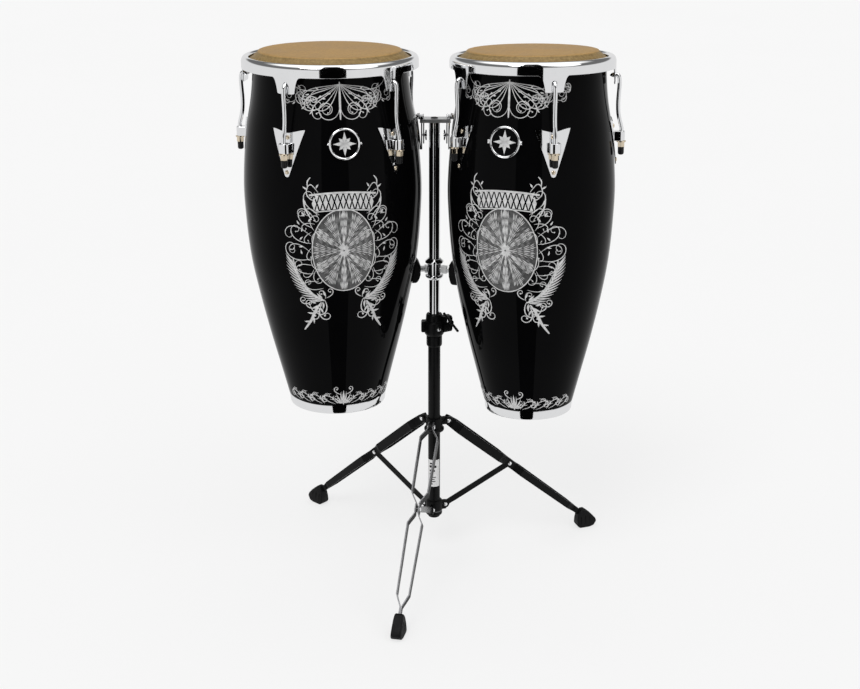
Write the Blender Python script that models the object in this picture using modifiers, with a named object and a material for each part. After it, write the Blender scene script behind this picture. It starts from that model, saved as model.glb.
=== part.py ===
"""Two conga drums on a double tripod stand.

Frame: metres, +Z up, origin at the bottom centre of the bounding box, and the
drummer's side towards -Y. Every piece hangs from one empty on the pole's axis.
"""

import math

import bmesh
import bpy
from mathutils import Matrix, Vector

MM = 0.001

# ---- driving dimensions, millimetres ----
POLE_X, POLE_Y = 13.545, 56.35  # the pole's axis, measured from the box's centre
GAP = 0.3  # between faces that rest on each other

MAST_R, MAST_BORE_R, MAST_BOTTOM, MAST_TOP = 11.1, 9.6, 255.0, 943.0
BASE_R, BASE_BORE_R, BASE_BOTTOM, BASE_TOP = 12.7, 11.5, 83.0, 497.0
CLAMP_BOTTOM, CLAMP_TOP = 474.0, 544.0
PLATE_Z0, PLATE_Z1, PLATE_HALF_Y = 943.3, 946.3, 15.0
SUPPORT_Z0, SUPPORT_Z1, SUPPORT_ROD_Z = 618.0, 662.0, 640.0

LEG_AZIMUTHS = {"front": -11.3, "left": -131.3, "right": 108.7}  # from -Y to +X
LEG_PIVOT_R, LEG_PIVOT_Z = 30.8, 303.0
LEG_LENGTH, LEG_TO_BRACE, BRACE_LENGTH = 432.0, 186.6, 165.8
LEG_ANGLE = 49.6  # from the vertical
BRACE_PIVOT_R, BRACE_PIVOT_Z = 24.9, 107.5
STRIP_T = 2.5

DRUM_HEIGHT = 711.0
# radius of the shell at each distance below the head: (below, right, left)
SHELL_STATIONS = (
    (38, 139.5, 149.5), (90, 143.6, 155.0), (150, 153.2, 166.0),
    (250, 161.4, 174.4), (320, 159.8, 172.8), (400, 153.2, 165.8),
    (475, 140.8, 152.0), (560, 122.6, 133.0), (645, 101.6, 111.8),
    (694, 89.4, 99.6),
)
WALL = 10.0
DRUMS = {
    # centre of the head, lean (x, y) in degrees, extra radius over the small
    # drum, azimuth of the first lug, x of the tongue's inner face
    "left": dict(top=(-200.0, -16.4, 1080.6), lean=(0.0, 0.7), wide=13.0,
                 lug0=-25.0, side=-1, tongue=24.0, station=2,
                 support=(-0.994, -0.107), pad=(29.0, 46.0)),
    "right": dict(top=(184.5, -59.3, 1086.0), lean=(-0.5, 2.25), wide=0.0,
                  lug0=10.5, side=1, tongue=27.0, station=1,
                  support=(0.926, -0.378), pad=(37.0, 62.0)),
}
LUGS = 5
ROD_R, ROD_AT = 4.0, 170.3  # of the small drum's hooks
SLEEVE_TOP, SLEEVE_BOTTOM = 150.5, 168.5  # below the head

SEGMENTS = 32

for stale in list(bpy.data.objects):
    bpy.data.objects.remove(stale)

parts = bpy.data.collections.new("conga_drums")
cutters = bpy.data.collections.new("cutters")
bpy.context.scene.collection.children.link(parts)
bpy.context.scene.collection.children.link(cutters)


# ---- helpers ----
def empty(name, at=(0, 0, 0), rotation=(0, 0, 0), parent=None):
    obj = bpy.data.objects.new(name, None)
    parts.objects.link(obj)
    obj.location = Vector(at) * MM
    obj.rotation_euler = rotation
    obj.parent = parent
    return obj


def material(name, color, roughness, metallic):
    mat = bpy.data.materials.new(name)
    mat.use_nodes = True
    shader = mat.node_tree.nodes["Principled BSDF"]
    shader.inputs["Base Color"].default_value = (*color, 1)
    shader.inputs["Roughness"].default_value = roughness
    shader.inputs["Metallic"].default_value = metallic
    return mat


LOOKS = {
    "chrome": ((0.82, 0.82, 0.83), 0.08, 1.0),
    "black_paint": ((0.012, 0.012, 0.013), 0.35, 0.0),
    "lacquer": ((0.008, 0.008, 0.009), 0.08, 0.0),
    "rubber": ((0.015, 0.015, 0.016), 0.6, 0.0),
    "rawhide": ((0.62, 0.44, 0.26), 0.55, 0.0),
    "cap": ((0.02, 0.02, 0.02), 0.4, 0.0),
}


def place(name, mesh, look, at=(0, 0, 0), rotation=(0, 0, 0), parent=None):
    """A named piece of the model, with a material of its own."""
    obj = bpy.data.objects.new(name, mesh)
    parts.objects.link(obj)
    obj.location = Vector(at) * MM
    obj.rotation_euler = rotation
    obj.parent = parent
    mat = material(name, *LOOKS[look])
    if len(mesh.materials) == 0:
        mesh.materials.append(mat)
    obj.material_slots[0].link = "OBJECT"
    obj.material_slots[0].material = mat
    return obj


def temp(mesh, matrix=None):
    obj = bpy.data.objects.new("temp", mesh)
    cutters.objects.link(obj)
    obj.hide_render = True
    obj.display_type = "WIRE"
    if matrix is not None:
        obj.matrix_world = matrix
    return obj


def from_bmesh(bm):
    bmesh.ops.recalc_face_normals(bm, faces=bm.faces)
    mesh = bpy.data.meshes.new("shape")
    bm.to_mesh(mesh)
    bm.free()
    return mesh


def evaluated(obj):
    bpy.context.view_layer.update()
    graph = bpy.context.evaluated_depsgraph_get()
    mesh = bpy.data.meshes.new_from_object(obj.evaluated_get(graph))
    mesh.materials.clear()
    return mesh


def lathe(profile, segments=SEGMENTS, close=False):
    """Turns a profile of (radius, height) in mm about Z with a Screw modifier."""
    mesh = bpy.data.meshes.new("profile")
    edges = [(i, i + 1) for i in range(len(profile) - 1)]
    if close:
        edges.append((len(profile) - 1, 0))
    mesh.from_pydata([(r * MM, 0, z * MM) for r, z in profile], edges, [])
    obj = temp(mesh)
    screw = obj.modifiers.new("screw", "SCREW")
    screw.steps = screw.render_steps = segments
    screw.use_merge_vertices = True
    screw.merge_threshold = 0.00001
    screw.use_smooth_shade = True
    made = evaluated(obj)
    bpy.data.objects.remove(obj)
    return made


def slab(outline, half, taper=None):
    """An (x, z) outline in mm, thick along y from -half to +half."""
    bm = bmesh.new()
    rows = []
    for y in (-half, half):
        rows.append([bm.verts.new((x * MM, y * MM * (taper(x, z) if taper else 1), z * MM)) for x, z in outline])
    bm.faces.new(rows[0])
    bm.faces.new(list(reversed(rows[1])))
    n = len(outline)
    for i in range(n):
        bm.faces.new((rows[0][i], rows[1][i], rows[1][(i + 1) % n], rows[0][(i + 1) % n]))
    return from_bmesh(bm)


def box(low, high):
    bm = bmesh.new()
    bmesh.ops.create_cube(bm, size=1)
    size = [(b - a) * MM for a, b in zip(low, high)]
    mid = [(a + b) / 2 * MM for a, b in zip(low, high)]
    bmesh.ops.scale(bm, vec=size, verts=bm.verts)
    bmesh.ops.translate(bm, vec=mid, verts=bm.verts)
    return from_bmesh(bm)


def rod(start, end, radius, segments=12):
    a, b = Vector(start) * MM, Vector(end) * MM
    bm = bmesh.new()
    turn = Vector((0, 0, 1)).rotation_difference(b - a).to_matrix().to_4x4()
    bmesh.ops.create_cone(bm, cap_ends=True, segments=segments, radius1=radius * MM,
                          radius2=radius * MM, depth=(b - a).length,
                          matrix=Matrix.Translation((a + b) / 2) @ turn)
    return from_bmesh(bm)


def joined(base, *steps, solver="EXACT"):
    """base with each (operation, mesh[, matrix]) applied by a Boolean."""
    obj = temp(base)
    others = []
    for step in steps:
        other = temp(step[1], step[2] if len(step) > 2 else None)
        cut = obj.modifiers.new(step[0].lower(), "BOOLEAN")
        cut.operation = step[0]
        cut.solver = solver
        cut.object = other
        others.append(other)
    made = evaluated(obj)
    for other in others + [obj]:
        bpy.data.objects.remove(other)
    bm = bmesh.new()
    bm.from_mesh(made)
    bmesh.ops.remove_doubles(bm, verts=bm.verts, dist=0.000004)
    bmesh.ops.dissolve_degenerate(bm, edges=bm.edges, dist=0.000004)
    bm.to_mesh(made)
    bm.free()
    return made


def moved(mesh, matrix):
    copy = mesh.copy()
    copy.transform(matrix)
    return copy


def wire(points, radius, sides=2):
    curve = bpy.data.curves.new("wire", "CURVE")
    curve.dimensions = "3D"
    curve.bevel_depth = radius * MM
    curve.bevel_resolution = sides
    curve.use_fill_caps = True
    spline = curve.splines.new("POLY")
    spline.points.add(len(points) - 1)
    for point, at in zip(spline.points, points):
        point.co = (*(Vector(at) * MM), 1)
    obj = bpy.data.objects.new("temp", curve)
    cutters.objects.link(obj)
    mesh = evaluated(obj)
    bpy.data.objects.remove(obj)
    bm = bmesh.new()
    bm.from_mesh(mesh)
    bmesh.ops.remove_doubles(bm, verts=bm.verts, dist=0.00001)
    bmesh.ops.recalc_face_normals(bm, faces=bm.faces)
    bm.to_mesh(mesh)
    bm.free()
    return mesh


def shade(mesh):
    mesh.shade_smooth()
    mesh.set_sharp_from_angle(angle=math.radians(35))
    return mesh


def turn_z(degrees):
    return Matrix.Rotation(math.radians(degrees), 4, "Z")


def arc(cx, cz, radius, start, end, steps):
    return [(cx + radius * math.cos(math.radians(start + (end - start) * i / steps)),
             cz + radius * math.sin(math.radians(start + (end - start) * i / steps)))
            for i in range(steps + 1)]


def shell_radius(below, station):
    rows = SHELL_STATIONS
    if below <= rows[0][0]:
        return rows[0][station]
    for a, b in zip(rows, rows[1:]):
        if below <= b[0]:
            t = (below - a[0]) / (b[0] - a[0])
            return a[station] + (b[station] - a[station]) * t
    return rows[-1][station]


def patch(radius_at, half_width, top, bottom, thick, columns, rows):
    """A plate bent round Z, facing -Y. top(u) and half_width(z) shape it."""
    bm = bmesh.new()
    grid = []
    for j in range(rows + 1):
        row = []
        for i in range(columns + 1):
            u = 2 * i / columns - 1
            z = top(u) + (bottom - top(u)) * j / rows
            r = radius_at(z)
            angle = u * half_width(j / rows) / r
            row.append(bm.verts.new((r * math.sin(angle) * MM, -r * math.cos(angle) * MM, z * MM)))
        grid.append(row)
    for j in range(rows):
        for i in range(columns):
            bm.faces.new((grid[j + 1][i], grid[j + 1][i + 1], grid[j][i + 1], grid[j][i]))
    mesh = bpy.data.meshes.new("patch")
    bm.to_mesh(mesh)
    bm.free()
    obj = temp(mesh)
    solid = obj.modifiers.new("solid", "SOLIDIFY")
    solid.thickness = thick * MM
    solid.offset = 1
    made = evaluated(obj)
    bpy.data.objects.remove(obj)
    return made


pole = empty("pole_axis", (POLE_X, POLE_Y, 0))

# ---- stand: lower tube with the brace collar ----
clevis = joined(
    slab([(12.0, 97), (26, 97), *arc(BRACE_PIVOT_R, BRACE_PIVOT_Z, 8, -60, 90, 4), (12.0, 117)], 4.4),
    ("DIFFERENCE", box((17.9, -1.8, 90), (40, 1.8, 130))),
    ("UNION", rod((BRACE_PIVOT_R, -5.4, BRACE_PIVOT_Z), (BRACE_PIVOT_R, 5.4, BRACE_PIVOT_Z), 2.5, 8)),
)
base = lathe([
    (BASE_R, BASE_TOP - 0.6), (BASE_R, 121), (17.5, 119.5), (17.5, 90), (BASE_R, 87),
    (BASE_R, BASE_BOTTOM), (BASE_BORE_R, BASE_BOTTOM), (BASE_BORE_R, BASE_TOP - 0.6),
], 20, close=True)
base = joined(base, *[("UNION", moved(clevis, turn_z(a - 90))) for a in LEG_AZIMUTHS.values()])
place("base_tube", shade(base), "black_paint", parent=pole)

# ---- stand: height clamp and its T-bolt ----
BOLT_DIR = Vector((0.5, -0.866, 0))
BOLT_SIDE = Vector((0.866, 0.5, 0))
BOLT_AT = Vector((27.0, -5.0, 530.0))
ear_frame = Matrix((
    (*BOLT_DIR, 0), (*BOLT_SIDE, 0), (0, 0, 1, 0), (0, 0, 0, 1))).transposed()
ear_frame.translation = BOLT_AT * MM
clamp = lathe([
    (15.2, CLAMP_TOP), (16.8, 541), (17.6, 530), (21.5, 527), (21.5, 506), (16.2, 495.5),
    (16.2, 477), (14.6, CLAMP_BOTTOM), (13.0, CLAMP_BOTTOM), (13.0, BASE_TOP),
    (11.5, BASE_TOP), (11.5, CLAMP_TOP),
], 20, close=True)
clamp = joined(
    clamp,
    ("UNION", box((-27, -8, 505), (-14, 8, 528))),
    ("UNION", box((-13, -9.5, -24), (4.5, 9.5, 9)), ear_frame),
    ("DIFFERENCE", rod((-12.5, 0, 0), (8, 0, 0), 3.9, 12), ear_frame),
    ("DIFFERENCE", rod((0, 0, 500), (0, 0, 560), 11.5, 24)),
)
place("height_clamp", shade(clamp), "black_paint", parent=pole)
tilt = math.radians(-53)
bar = Vector((0, math.cos(tilt), math.sin(tilt)))
bolt = joined(
    rod((-7, 0, 0), (14, 0, 0), 3.5, 12),
    ("UNION", rod((9, 0, 0), (18.5, 0, 0), 5.0, 12)),
    ("UNION", rod(Vector((14, 0, 0)) + bar * 29, Vector((14, 0, 0)) - bar * 29, 2.3, 10)),
)
height_bolt = place("height_bolt", shade(bolt), "black_paint", at=BOLT_AT,
                    rotation=(0, 0, math.atan2(BOLT_DIR.y, BOLT_DIR.x)), parent=pole)

# ---- mast and crossbar ----
mast = lathe([(MAST_R, MAST_TOP), (MAST_R, MAST_BOTTOM), (MAST_BORE_R, MAST_BOTTOM),
              (MAST_BORE_R, MAST_TOP)], 20, close=True)
place("upper_tube", shade(mast), "chrome", parent=pole)

xl, xr = DRUMS["left"]["tongue"], DRUMS["right"]["tongue"]
steps = [("UNION", rod((0, 0, 922), (0, 0, PLATE_Z0 + 1), MAST_BORE_R - 0.4, 16))]
for x, side in ((xl, -1), (xr, 1)):
    a, b = sorted((side * (x - 4.0), side * (x - 1.5)))
    steps.append(("UNION", box((a, -10.8, 898), (b, 10.8, PLATE_Z0 + 1))))
    a, b = sorted((side * (x - 1.2), side * (x + 10)))
    steps.append(("DIFFERENCE", box((a, -11, 930), (b, 11, 960))))
    a, b = sorted((side * (x - 7), side * x))
    steps.append(("DIFFERENCE", rod((a, 0, 913), (b, 0, 913), 2.9, 10)))
crossbar = joined(box((-xl - 4.6, -PLATE_HALF_Y, PLATE_Z0), (xr + 4.6, PLATE_HALF_Y, PLATE_Z1)), *steps)
place("crossbar", crossbar, "chrome", parent=pole)

for name, x, side in (("left", xl, -1), ("right", xr, 1)):
    wing = joined(
        rod((side * -0.3, 0, 0), (side * -7, 0, 0), 2.5, 10),
        ("UNION", rod((side * -4.5, 0, 0), (side * -9.5, 0, 0), 4.5, 10)),
        ("UNION", box(*[tuple(p) for p in zip(*[sorted(v) for v in ((side * -5.5, side * -8.0), (-2.6, 2.6), (-10.5, 10.5))])])),
    )
    place("wing_bolt_" + name, wing, "chrome", at=(side * x, 0, 913), parent=pole)

# ---- support clamp on the mast, with its two rods ----
support = lathe([
    (13, SUPPORT_Z1), (18.8, 656.5), (18.8, 653.5), (14.2, 651.5), (14.2, 628.5),
    (18.5, 626.5), (18.5, 624), (13, SUPPORT_Z0), (11.5, SUPPORT_Z0), (11.5, SUPPORT_Z1),
], 20, close=True)
steps = []
for drum in DRUMS.values():
    out = Vector((*drum["support"], 0)).normalized()
    steps.append(("UNION", rod(out * 12.8 + Vector((0, 0, SUPPORT_ROD_Z)),
                               out * (drum["pad"][0] - GAP) + Vector((0, 0, SUPPORT_ROD_Z)), 4.5, 12)))
support = joined(support, *steps)
place("support_clamp", shade(support), "chrome", parent=pole)

# ---- sliding leg collar ----
ear = joined(
    slab([(14.5, 295), (30.8, 295), *arc(LEG_PIVOT_R, LEG_PIVOT_Z, 8, -80, 90, 4), (14.5, 311)], 3.5),
    ("DIFFERENCE", rod((LEG_PIVOT_R, -8, LEG_PIVOT_Z), (LEG_PIVOT_R, 8, LEG_PIVOT_Z), 3.4, 10)),
)
collar = lathe([
    (15.5, 313.5), (17.5, 312), (17.5, 292), (21, 290), (21, 285), (17.5, 282),
    (13.1, 282), (13.1, 313.5),
], 20, close=True)
collar = joined(collar, *[("UNION", moved(ear, turn_z(a - 90))) for a in LEG_AZIMUTHS.values()])
place("leg_collar", shade(collar), "black_paint", parent=pole)

# ---- legs, braces and feet ----
lean = math.radians(LEG_ANGLE)
ALONG = Vector((math.sin(lean), 0, -math.cos(lean)))
ACROSS = Vector((math.cos(lean), 0, math.sin(lean)))
STRIP = (  # along the leg, half the spread, half the width
    (-8, 5.3, 7.5), (9, 5.3, 10), (28, 18, 10), (150, 16.5, 9.6), (175, 3.7, 9),
    (198, 3.7, 8.6), (222, 14.5, 8.2), (372, 12.2, 7.2), (399, 1.2, 6.4), (LEG_LENGTH, 1.2, 6.2),
)


def leg_strip(side):
    bm = bmesh.new()
    rings = []
    for s, y, half in STRIP:
        mid = ALONG * s
        rings.append([bm.verts.new((mid + ACROSS * w + Vector((0, side * y + t, 0))) * MM)
                      for w, t in ((-half, -STRIP_T / 2), (half, -STRIP_T / 2),
                                   (half, STRIP_T / 2), (-half, STRIP_T / 2))])
    for a, b in zip(rings, rings[1:]):
        for i in range(4):
            bm.faces.new((a[i], a[(i + 1) % 4], b[(i + 1) % 4], b[i]))
    bm.faces.new(rings[0])
    bm.faces.new(list(reversed(rings[-1])))
    return from_bmesh(bm)


def at_leg(s, y):
    return ALONG * s + Vector((0, y, 0))


leg_mesh = joined(
    leg_strip(1),
    ("UNION", leg_strip(-1)),
    ("UNION", rod(at_leg(0, -7.6), at_leg(0, 7.6), 3.0, 10)),
    ("UNION", rod(at_leg(0, 6.0), at_leg(0, 8.2), 5.0, 10)),
    ("UNION", rod(at_leg(0, -6.0), at_leg(0, -8.2), 5.0, 10)),
    ("UNION", rod(at_leg(LEG_TO_BRACE, 4.2), at_leg(LEG_TO_BRACE, 6.4), 5.0, 10)),
    ("UNION", rod(at_leg(LEG_TO_BRACE, -4.2), at_leg(LEG_TO_BRACE, -6.4), 5.0, 10)),
)
shade(leg_mesh)

reach_r = LEG_PIVOT_R + math.sin(lean) * LEG_TO_BRACE - BRACE_PIVOT_R
reach_z = LEG_PIVOT_Z - math.cos(lean) * LEG_TO_BRACE - BRACE_PIVOT_Z
brace_angle = math.atan2(reach_z, reach_r)
brace_mesh = joined(
    slab(arc(0, 0, 6.5, 90, 270, 6) + arc(BRACE_LENGTH, 0, 6.5, -90, 90, 6), STRIP_T / 2),
    ("DIFFERENCE", rod((0, -4, 0), (0, 4, 0), 2.9, 8)),
)
brace_mesh.transform(Matrix.Rotation(-brace_angle, 4, "Y"))

FOOT = [(378, 10), (371, 26), (350, 44), (336, 37), (326, 26), (328, 6), (334, 0), (366, 0), (374, 3)]
foot_at = Vector((LEG_PIVOT_R, 0, LEG_PIVOT_Z))
socket = bmesh.new()
corners = []
for s in (380.0, LEG_LENGTH + 0.4):
    for w, y in ((-7.4, -2.9), (7.4, -2.9), (7.4, 2.9), (-7.4, 2.9)):
        corners.append(socket.verts.new((foot_at + ALONG * s + ACROSS * w + Vector((0, y, 0))) * MM))
for quad in ((3, 2, 1, 0), (4, 5, 6, 7), (0, 1, 5, 4), (1, 2, 6, 5), (2, 3, 7, 6), (3, 0, 4, 7)):
    socket.faces.new([corners[i] for i in quad])
foot_mesh = joined(
    slab(FOOT, 16.0, taper=lambda x, z: 1.0 - 0.42 * max(0.0, z - 6) / 38),
    ("DIFFERENCE", from_bmesh(socket)),
)
foot_mesh.transform(Matrix.Translation(-foot_at * MM))

for name, azimuth in LEG_AZIMUTHS.items():
    a = math.radians(azimuth)
    out = Vector((math.sin(a), -math.cos(a), 0))
    facing = (0, 0, a - math.pi / 2)
    top = out * LEG_PIVOT_R + Vector((0, 0, LEG_PIVOT_Z))
    low = out * BRACE_PIVOT_R + Vector((0, 0, BRACE_PIVOT_Z))
    leg = place("leg_" + name, leg_mesh.copy(), "black_paint", at=top, rotation=facing, parent=pole)
    place("foot_" + name, foot_mesh.copy(), "rubber", at=top, rotation=facing, parent=pole)
    place("brace_" + name, brace_mesh.copy(), "black_paint", at=low, rotation=facing, parent=pole)

# ---- drums ----
CROWN = 121.0  # radius of the head's flat, on the small drum


def shell_outline(drum, extra=0.0):
    """(radius, height) down the outside of the shell, from its bearing edge."""
    s, w = drum["station"], drum["wide"]
    rows = [(123 + w, -2.7), (129.5 + w, -7.6), (136.5 + w, -16)]
    if w:
        rows = [(123 + w, -2.7), (131 + w, -8.2), (136.4 + w, -16)]
    rows += [(r[s], -r[0]) for r in SHELL_STATIONS]
    return [(r + extra, z) for r, z in rows]


for name, drum in DRUMS.items():
    s, w = drum["station"], drum["wide"]
    leans = [math.radians(v) for v in drum["lean"]]
    axis = Vector((math.tan(leans[0]), math.tan(leans[1]), 1)).normalized()
    rotation = Vector((0, 0, 1)).rotation_difference(axis).to_euler()
    frame = empty("drum_axis_" + name, drum["top"], rotation, pole)
    to_world = Matrix.Translation(Vector(drum["top"]) * MM) @ rotation.to_matrix().to_4x4()
    foot_r = SHELL_STATIONS[-1][s]
    bottom = -(DRUM_HEIGHT - 2.0)

    # the shell: stave wall, rebated at its foot for the ring
    outside = shell_outline(drum)
    outside[-1] = (foot_r, -692)
    outside += [(foot_r - 4.5, -692.3), (foot_r - 5.5, bottom)]
    inside = [(foot_r - 13, bottom), (foot_r - 11, -690)]
    inside += [(r[s] - WALL, -r[0]) for r in reversed(SHELL_STATIONS[1:-1:2])]
    inside += [(SHELL_STATIONS[0][s] - WALL - 6, -34), (119 + w, -3.2)]
    place("shell_" + name, shade(lathe(outside + inside, close=True)), "lacquer", parent=frame)

    # the head: skin, with the flesh hoop rolled into its skirt
    head = [(0, 0), (119.5, 0), (127.4, -3.4), (147.6, -19.2), (151.2, -23), (151.2, -38),
            (141.2, -38), (141.2, -24), (138.3, -16), (131.5, -7.0), (124, -2.2), (0, -2.2)]
    head = [(r + w if r else 0, z) for r, z in head]
    if w:
        head = [(r + (0.6 if 137 < r - w < 142 else 0), z) for r, z in head]
    place("head_" + name, shade(lathe(head)), "rawhide", parent=frame)

    # the rim, with a slotted tab for each hook
    rim = lathe([(x + w, z) for x, z in (
        (142.2, -11.6), (144.4, -9.2), (147.6, -8.1), (151.6, -9.0), (155.2, -12.2),
        (157.0, -18.5), (157.0, -31.5), (154.6, -31.5), (154.6, -18.8), (152.8, -13.9),
        (147.4, -10.6), (143.6, -13.0))], close=True)
    tab = patch(lambda z: 155.0 + w, lambda t: 24 - 23 * t + 8 * t * t, lambda u: -29, -62, 1.6, 4, 3)
    slot = box((-4.7, -(166 + w), -50.3), (4.7, -(147 + w), -40.2))
    lugs = [drum["lug0"] + 360 / LUGS * k for k in range(LUGS)]
    tab = joined(tab, ("DIFFERENCE", slot))
    rim = joined(rim, *[("UNION", moved(tab, turn_z(a))) for a in lugs], solver="MANIFOLD")
    place("rim_" + name, shade(rim), "chrome", parent=frame)

    # the ring round the foot
    ring = lathe([(foot_r - 1.0, -693), (foot_r - 2.0, -DRUM_HEIGHT + 1), (foot_r - 3.0, -DRUM_HEIGHT),
                  (foot_r - 13.0, -DRUM_HEIGHT), (foot_r - 13.0, bottom - GAP),
                  (foot_r - 5.1, bottom - GAP), (foot_r - 4.1, -693)], close=True)
    place("bottom_ring_" + name, shade(ring), "chrome", parent=frame)

    # hooks, side plates and tuning nuts, made once and turned to each place
    at = ROD_AT + w
    hook = wire([(0, -(r + w), z) for r, z in (
        (148.6, -47.4), (152.6, -45.2), (157.6, -45.0), (162.0, -49.0), (164.0, -58),
        (162.6, -92), (163.4, -118), (168.8, -140), (170.3, -147.5), (170.3, -190.5))], ROD_R)
    wall = lambda z: shell_radius(-z, s)
    plate = patch(lambda z: wall(z) + 1.0, lambda t: 4 + 29.5 * (1 - t) ** 0.85,
                  lambda u: -133 + 6 * abs(u), -213.5, 2.0, 4, 3)
    near = wall(-SLEEVE_BOTTOM) + 1.2
    plate = joined(
        plate,
        ("UNION", box((-10.5, -(at + 6.6), -SLEEVE_BOTTOM), (10.5, -near, -SLEEVE_TOP))),
        ("DIFFERENCE", rod((0, -at, -SLEEVE_BOTTOM - 5), (0, -at, -SLEEVE_TOP + 5), ROD_R + 0.6, 10)),
    )
    nut = lathe([(0, -23.4), (4.4, -23.4), (4.4, 0), (9, 0), (9, -2.8), (6.5, -3.6), (6.3, -11.8),
                 (5.75, -12.2), (5.75, -24), (0, -27)], 10)
    for mesh in (hook, plate, nut):
        shade(mesh)
    for k, azimuth in enumerate(lugs, 1):
        a = math.radians(azimuth)
        place(f"tension_hook_{name}_{k}", hook.copy(), "chrome", rotation=(0, 0, a), parent=frame)
        place(f"side_plate_{name}_{k}", plate.copy(), "chrome", rotation=(0, 0, a), parent=frame)
        place(f"tuning_nut_{name}_{k}", nut.copy(), "chrome",
              at=(at * math.sin(a), -at * math.cos(a), -SLEEVE_BOTTOM - GAP),
              rotation=(0, 0, a), parent=frame)

    # the mount plate: a strip on the shell, a bar that rests on the crossbar
    # and a tongue that hangs in its notch
    side, x = drum["side"], drum["tongue"]

    def clear(extra, low=80, high=260):
        rows = [(0, -low), (wall(-low) + extra, -low)]
        rows += [(r[s] + extra, -r[0]) for r in SHELL_STATIONS if low < r[0] < high]
        rows += [(wall(-high) + extra, -high), (0, -high)]
        return lathe(rows)

    def ordered(x0, x1, y, z0, z1):
        a, b = sorted((side * x0, side * x1))
        return box((a, -y, z0), (b, y, z1))

    block = ordered(x, x + 30, 9.8, 886, 950)
    plate = joined(
        block,
        ("DIFFERENCE", clear(0.6), to_world),
        ("DIFFERENCE", joined(ordered(x + 2.5, x + 33, 12, 880, 945.6), ("DIFFERENCE", clear(3.6), to_world))),
        ("UNION", ordered(x - 1.8, x + 3.6, 14.5, PLATE_Z1 + GAP, 950.4)),
    )
    place("mount_plate_" + name, plate, "chrome", parent=pole)

    # the rubber bumper against the belly
    out = Vector((*drum["support"], 0)).normalized()
    near, far = drum["pad"]
    pad_frame = Matrix((
        (out.x, -out.y, 0, 0), (out.y, out.x, 0, 0), (0, 0, 1, SUPPORT_ROD_Z * MM), (0, 0, 0, 1)))
    outline = [(near, -9), (near, 9), (near + 6, 20), (near + 11, 26), (far + 14, 26), (far + 14, -26),
               (near + 8, -26)]
    pad = joined(
        slab(outline, 26.0, taper=lambda px, pz: 0.6 if px < near + 1 else 1.0),
        ("DIFFERENCE", clear(0.6, 380, 520), pad_frame.inverted() @ to_world),
    )
    pad.transform(Matrix.Translation(-out * near * MM) @ pad_frame)
    place("bumper_" + name, pad, "rubber", at=out * near, parent=pole)
    pad.transform(Matrix.Translation((0, 0, 0)))

bpy.context.view_layer.update()
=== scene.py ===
import math

import bmesh
import bpy
from mathutils import Matrix, Vector, noise


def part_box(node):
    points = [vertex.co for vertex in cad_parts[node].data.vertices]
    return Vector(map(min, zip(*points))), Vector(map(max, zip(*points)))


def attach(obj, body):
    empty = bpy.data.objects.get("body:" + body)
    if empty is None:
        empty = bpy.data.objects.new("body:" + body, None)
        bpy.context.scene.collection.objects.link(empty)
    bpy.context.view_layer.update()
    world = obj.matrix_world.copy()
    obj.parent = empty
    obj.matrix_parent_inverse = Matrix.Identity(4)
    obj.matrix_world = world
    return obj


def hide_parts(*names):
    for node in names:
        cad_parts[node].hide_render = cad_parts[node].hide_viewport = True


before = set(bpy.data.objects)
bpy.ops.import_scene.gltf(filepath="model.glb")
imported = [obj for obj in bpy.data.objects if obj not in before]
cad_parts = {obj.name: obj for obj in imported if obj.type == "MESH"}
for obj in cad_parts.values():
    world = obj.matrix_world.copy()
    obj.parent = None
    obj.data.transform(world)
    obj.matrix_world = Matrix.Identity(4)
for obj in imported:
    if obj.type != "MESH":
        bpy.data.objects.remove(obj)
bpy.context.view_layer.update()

MM = 0.001
lo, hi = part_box("upper_tube")
POLE = Vector(((lo[0] + hi[0]) / 2, (lo[1] + hi[1]) / 2, 0))
ON_POLE = Matrix.Translation(POLE)
scene = bpy.context.scene

# ---------------------------------------------------------------- dimensions
LEG_AZIMUTHS = {"front": -11.3, "left": -131.3, "right": 108.7}
LEG_PIVOT_R, LEG_PIVOT_Z, LEG_TO_BRACE, BRACE_LENGTH = 30.8, 303.0, 186.6, 165.8
LEG_ANGLE, LEG_LENGTH, BRACE_PIVOT_R, BRACE_PIVOT_Z = 49.6, 432.0, 24.9, 107.5
STATIONS = (
    (38, 139.5, 149.5), (90, 143.6, 155.0), (150, 153.2, 166.0),
    (250, 161.4, 174.4), (320, 159.8, 172.8), (400, 153.2, 165.8),
    (475, 140.8, 152.0), (560, 122.6, 133.0), (645, 101.6, 111.8),
    (694, 89.4, 99.6),
)
DRUMS = {
    "left": dict(top=(-200.0, -16.4, 1080.6), lean=(0.0, 0.7), wide=13.0, lug0=-25.0,
                 side=-1, tongue=24.0, station=2, support=(-0.994, -0.107), pad=(29.0, 46.0), art=10.0),
    "right": dict(top=(184.5, -59.3, 1086.0), lean=(-0.5, 2.25), wide=0.0, lug0=10.5,
                  side=1, tongue=27.0, station=1, support=(0.926, -0.378), pad=(37.0, 62.0), art=-21.0),
}
SLEEVE_TOP, SLEEVE_BOTTOM, ROD_AT, ROD_R = 150.5, 168.5, 170.3, 4.0


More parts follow.
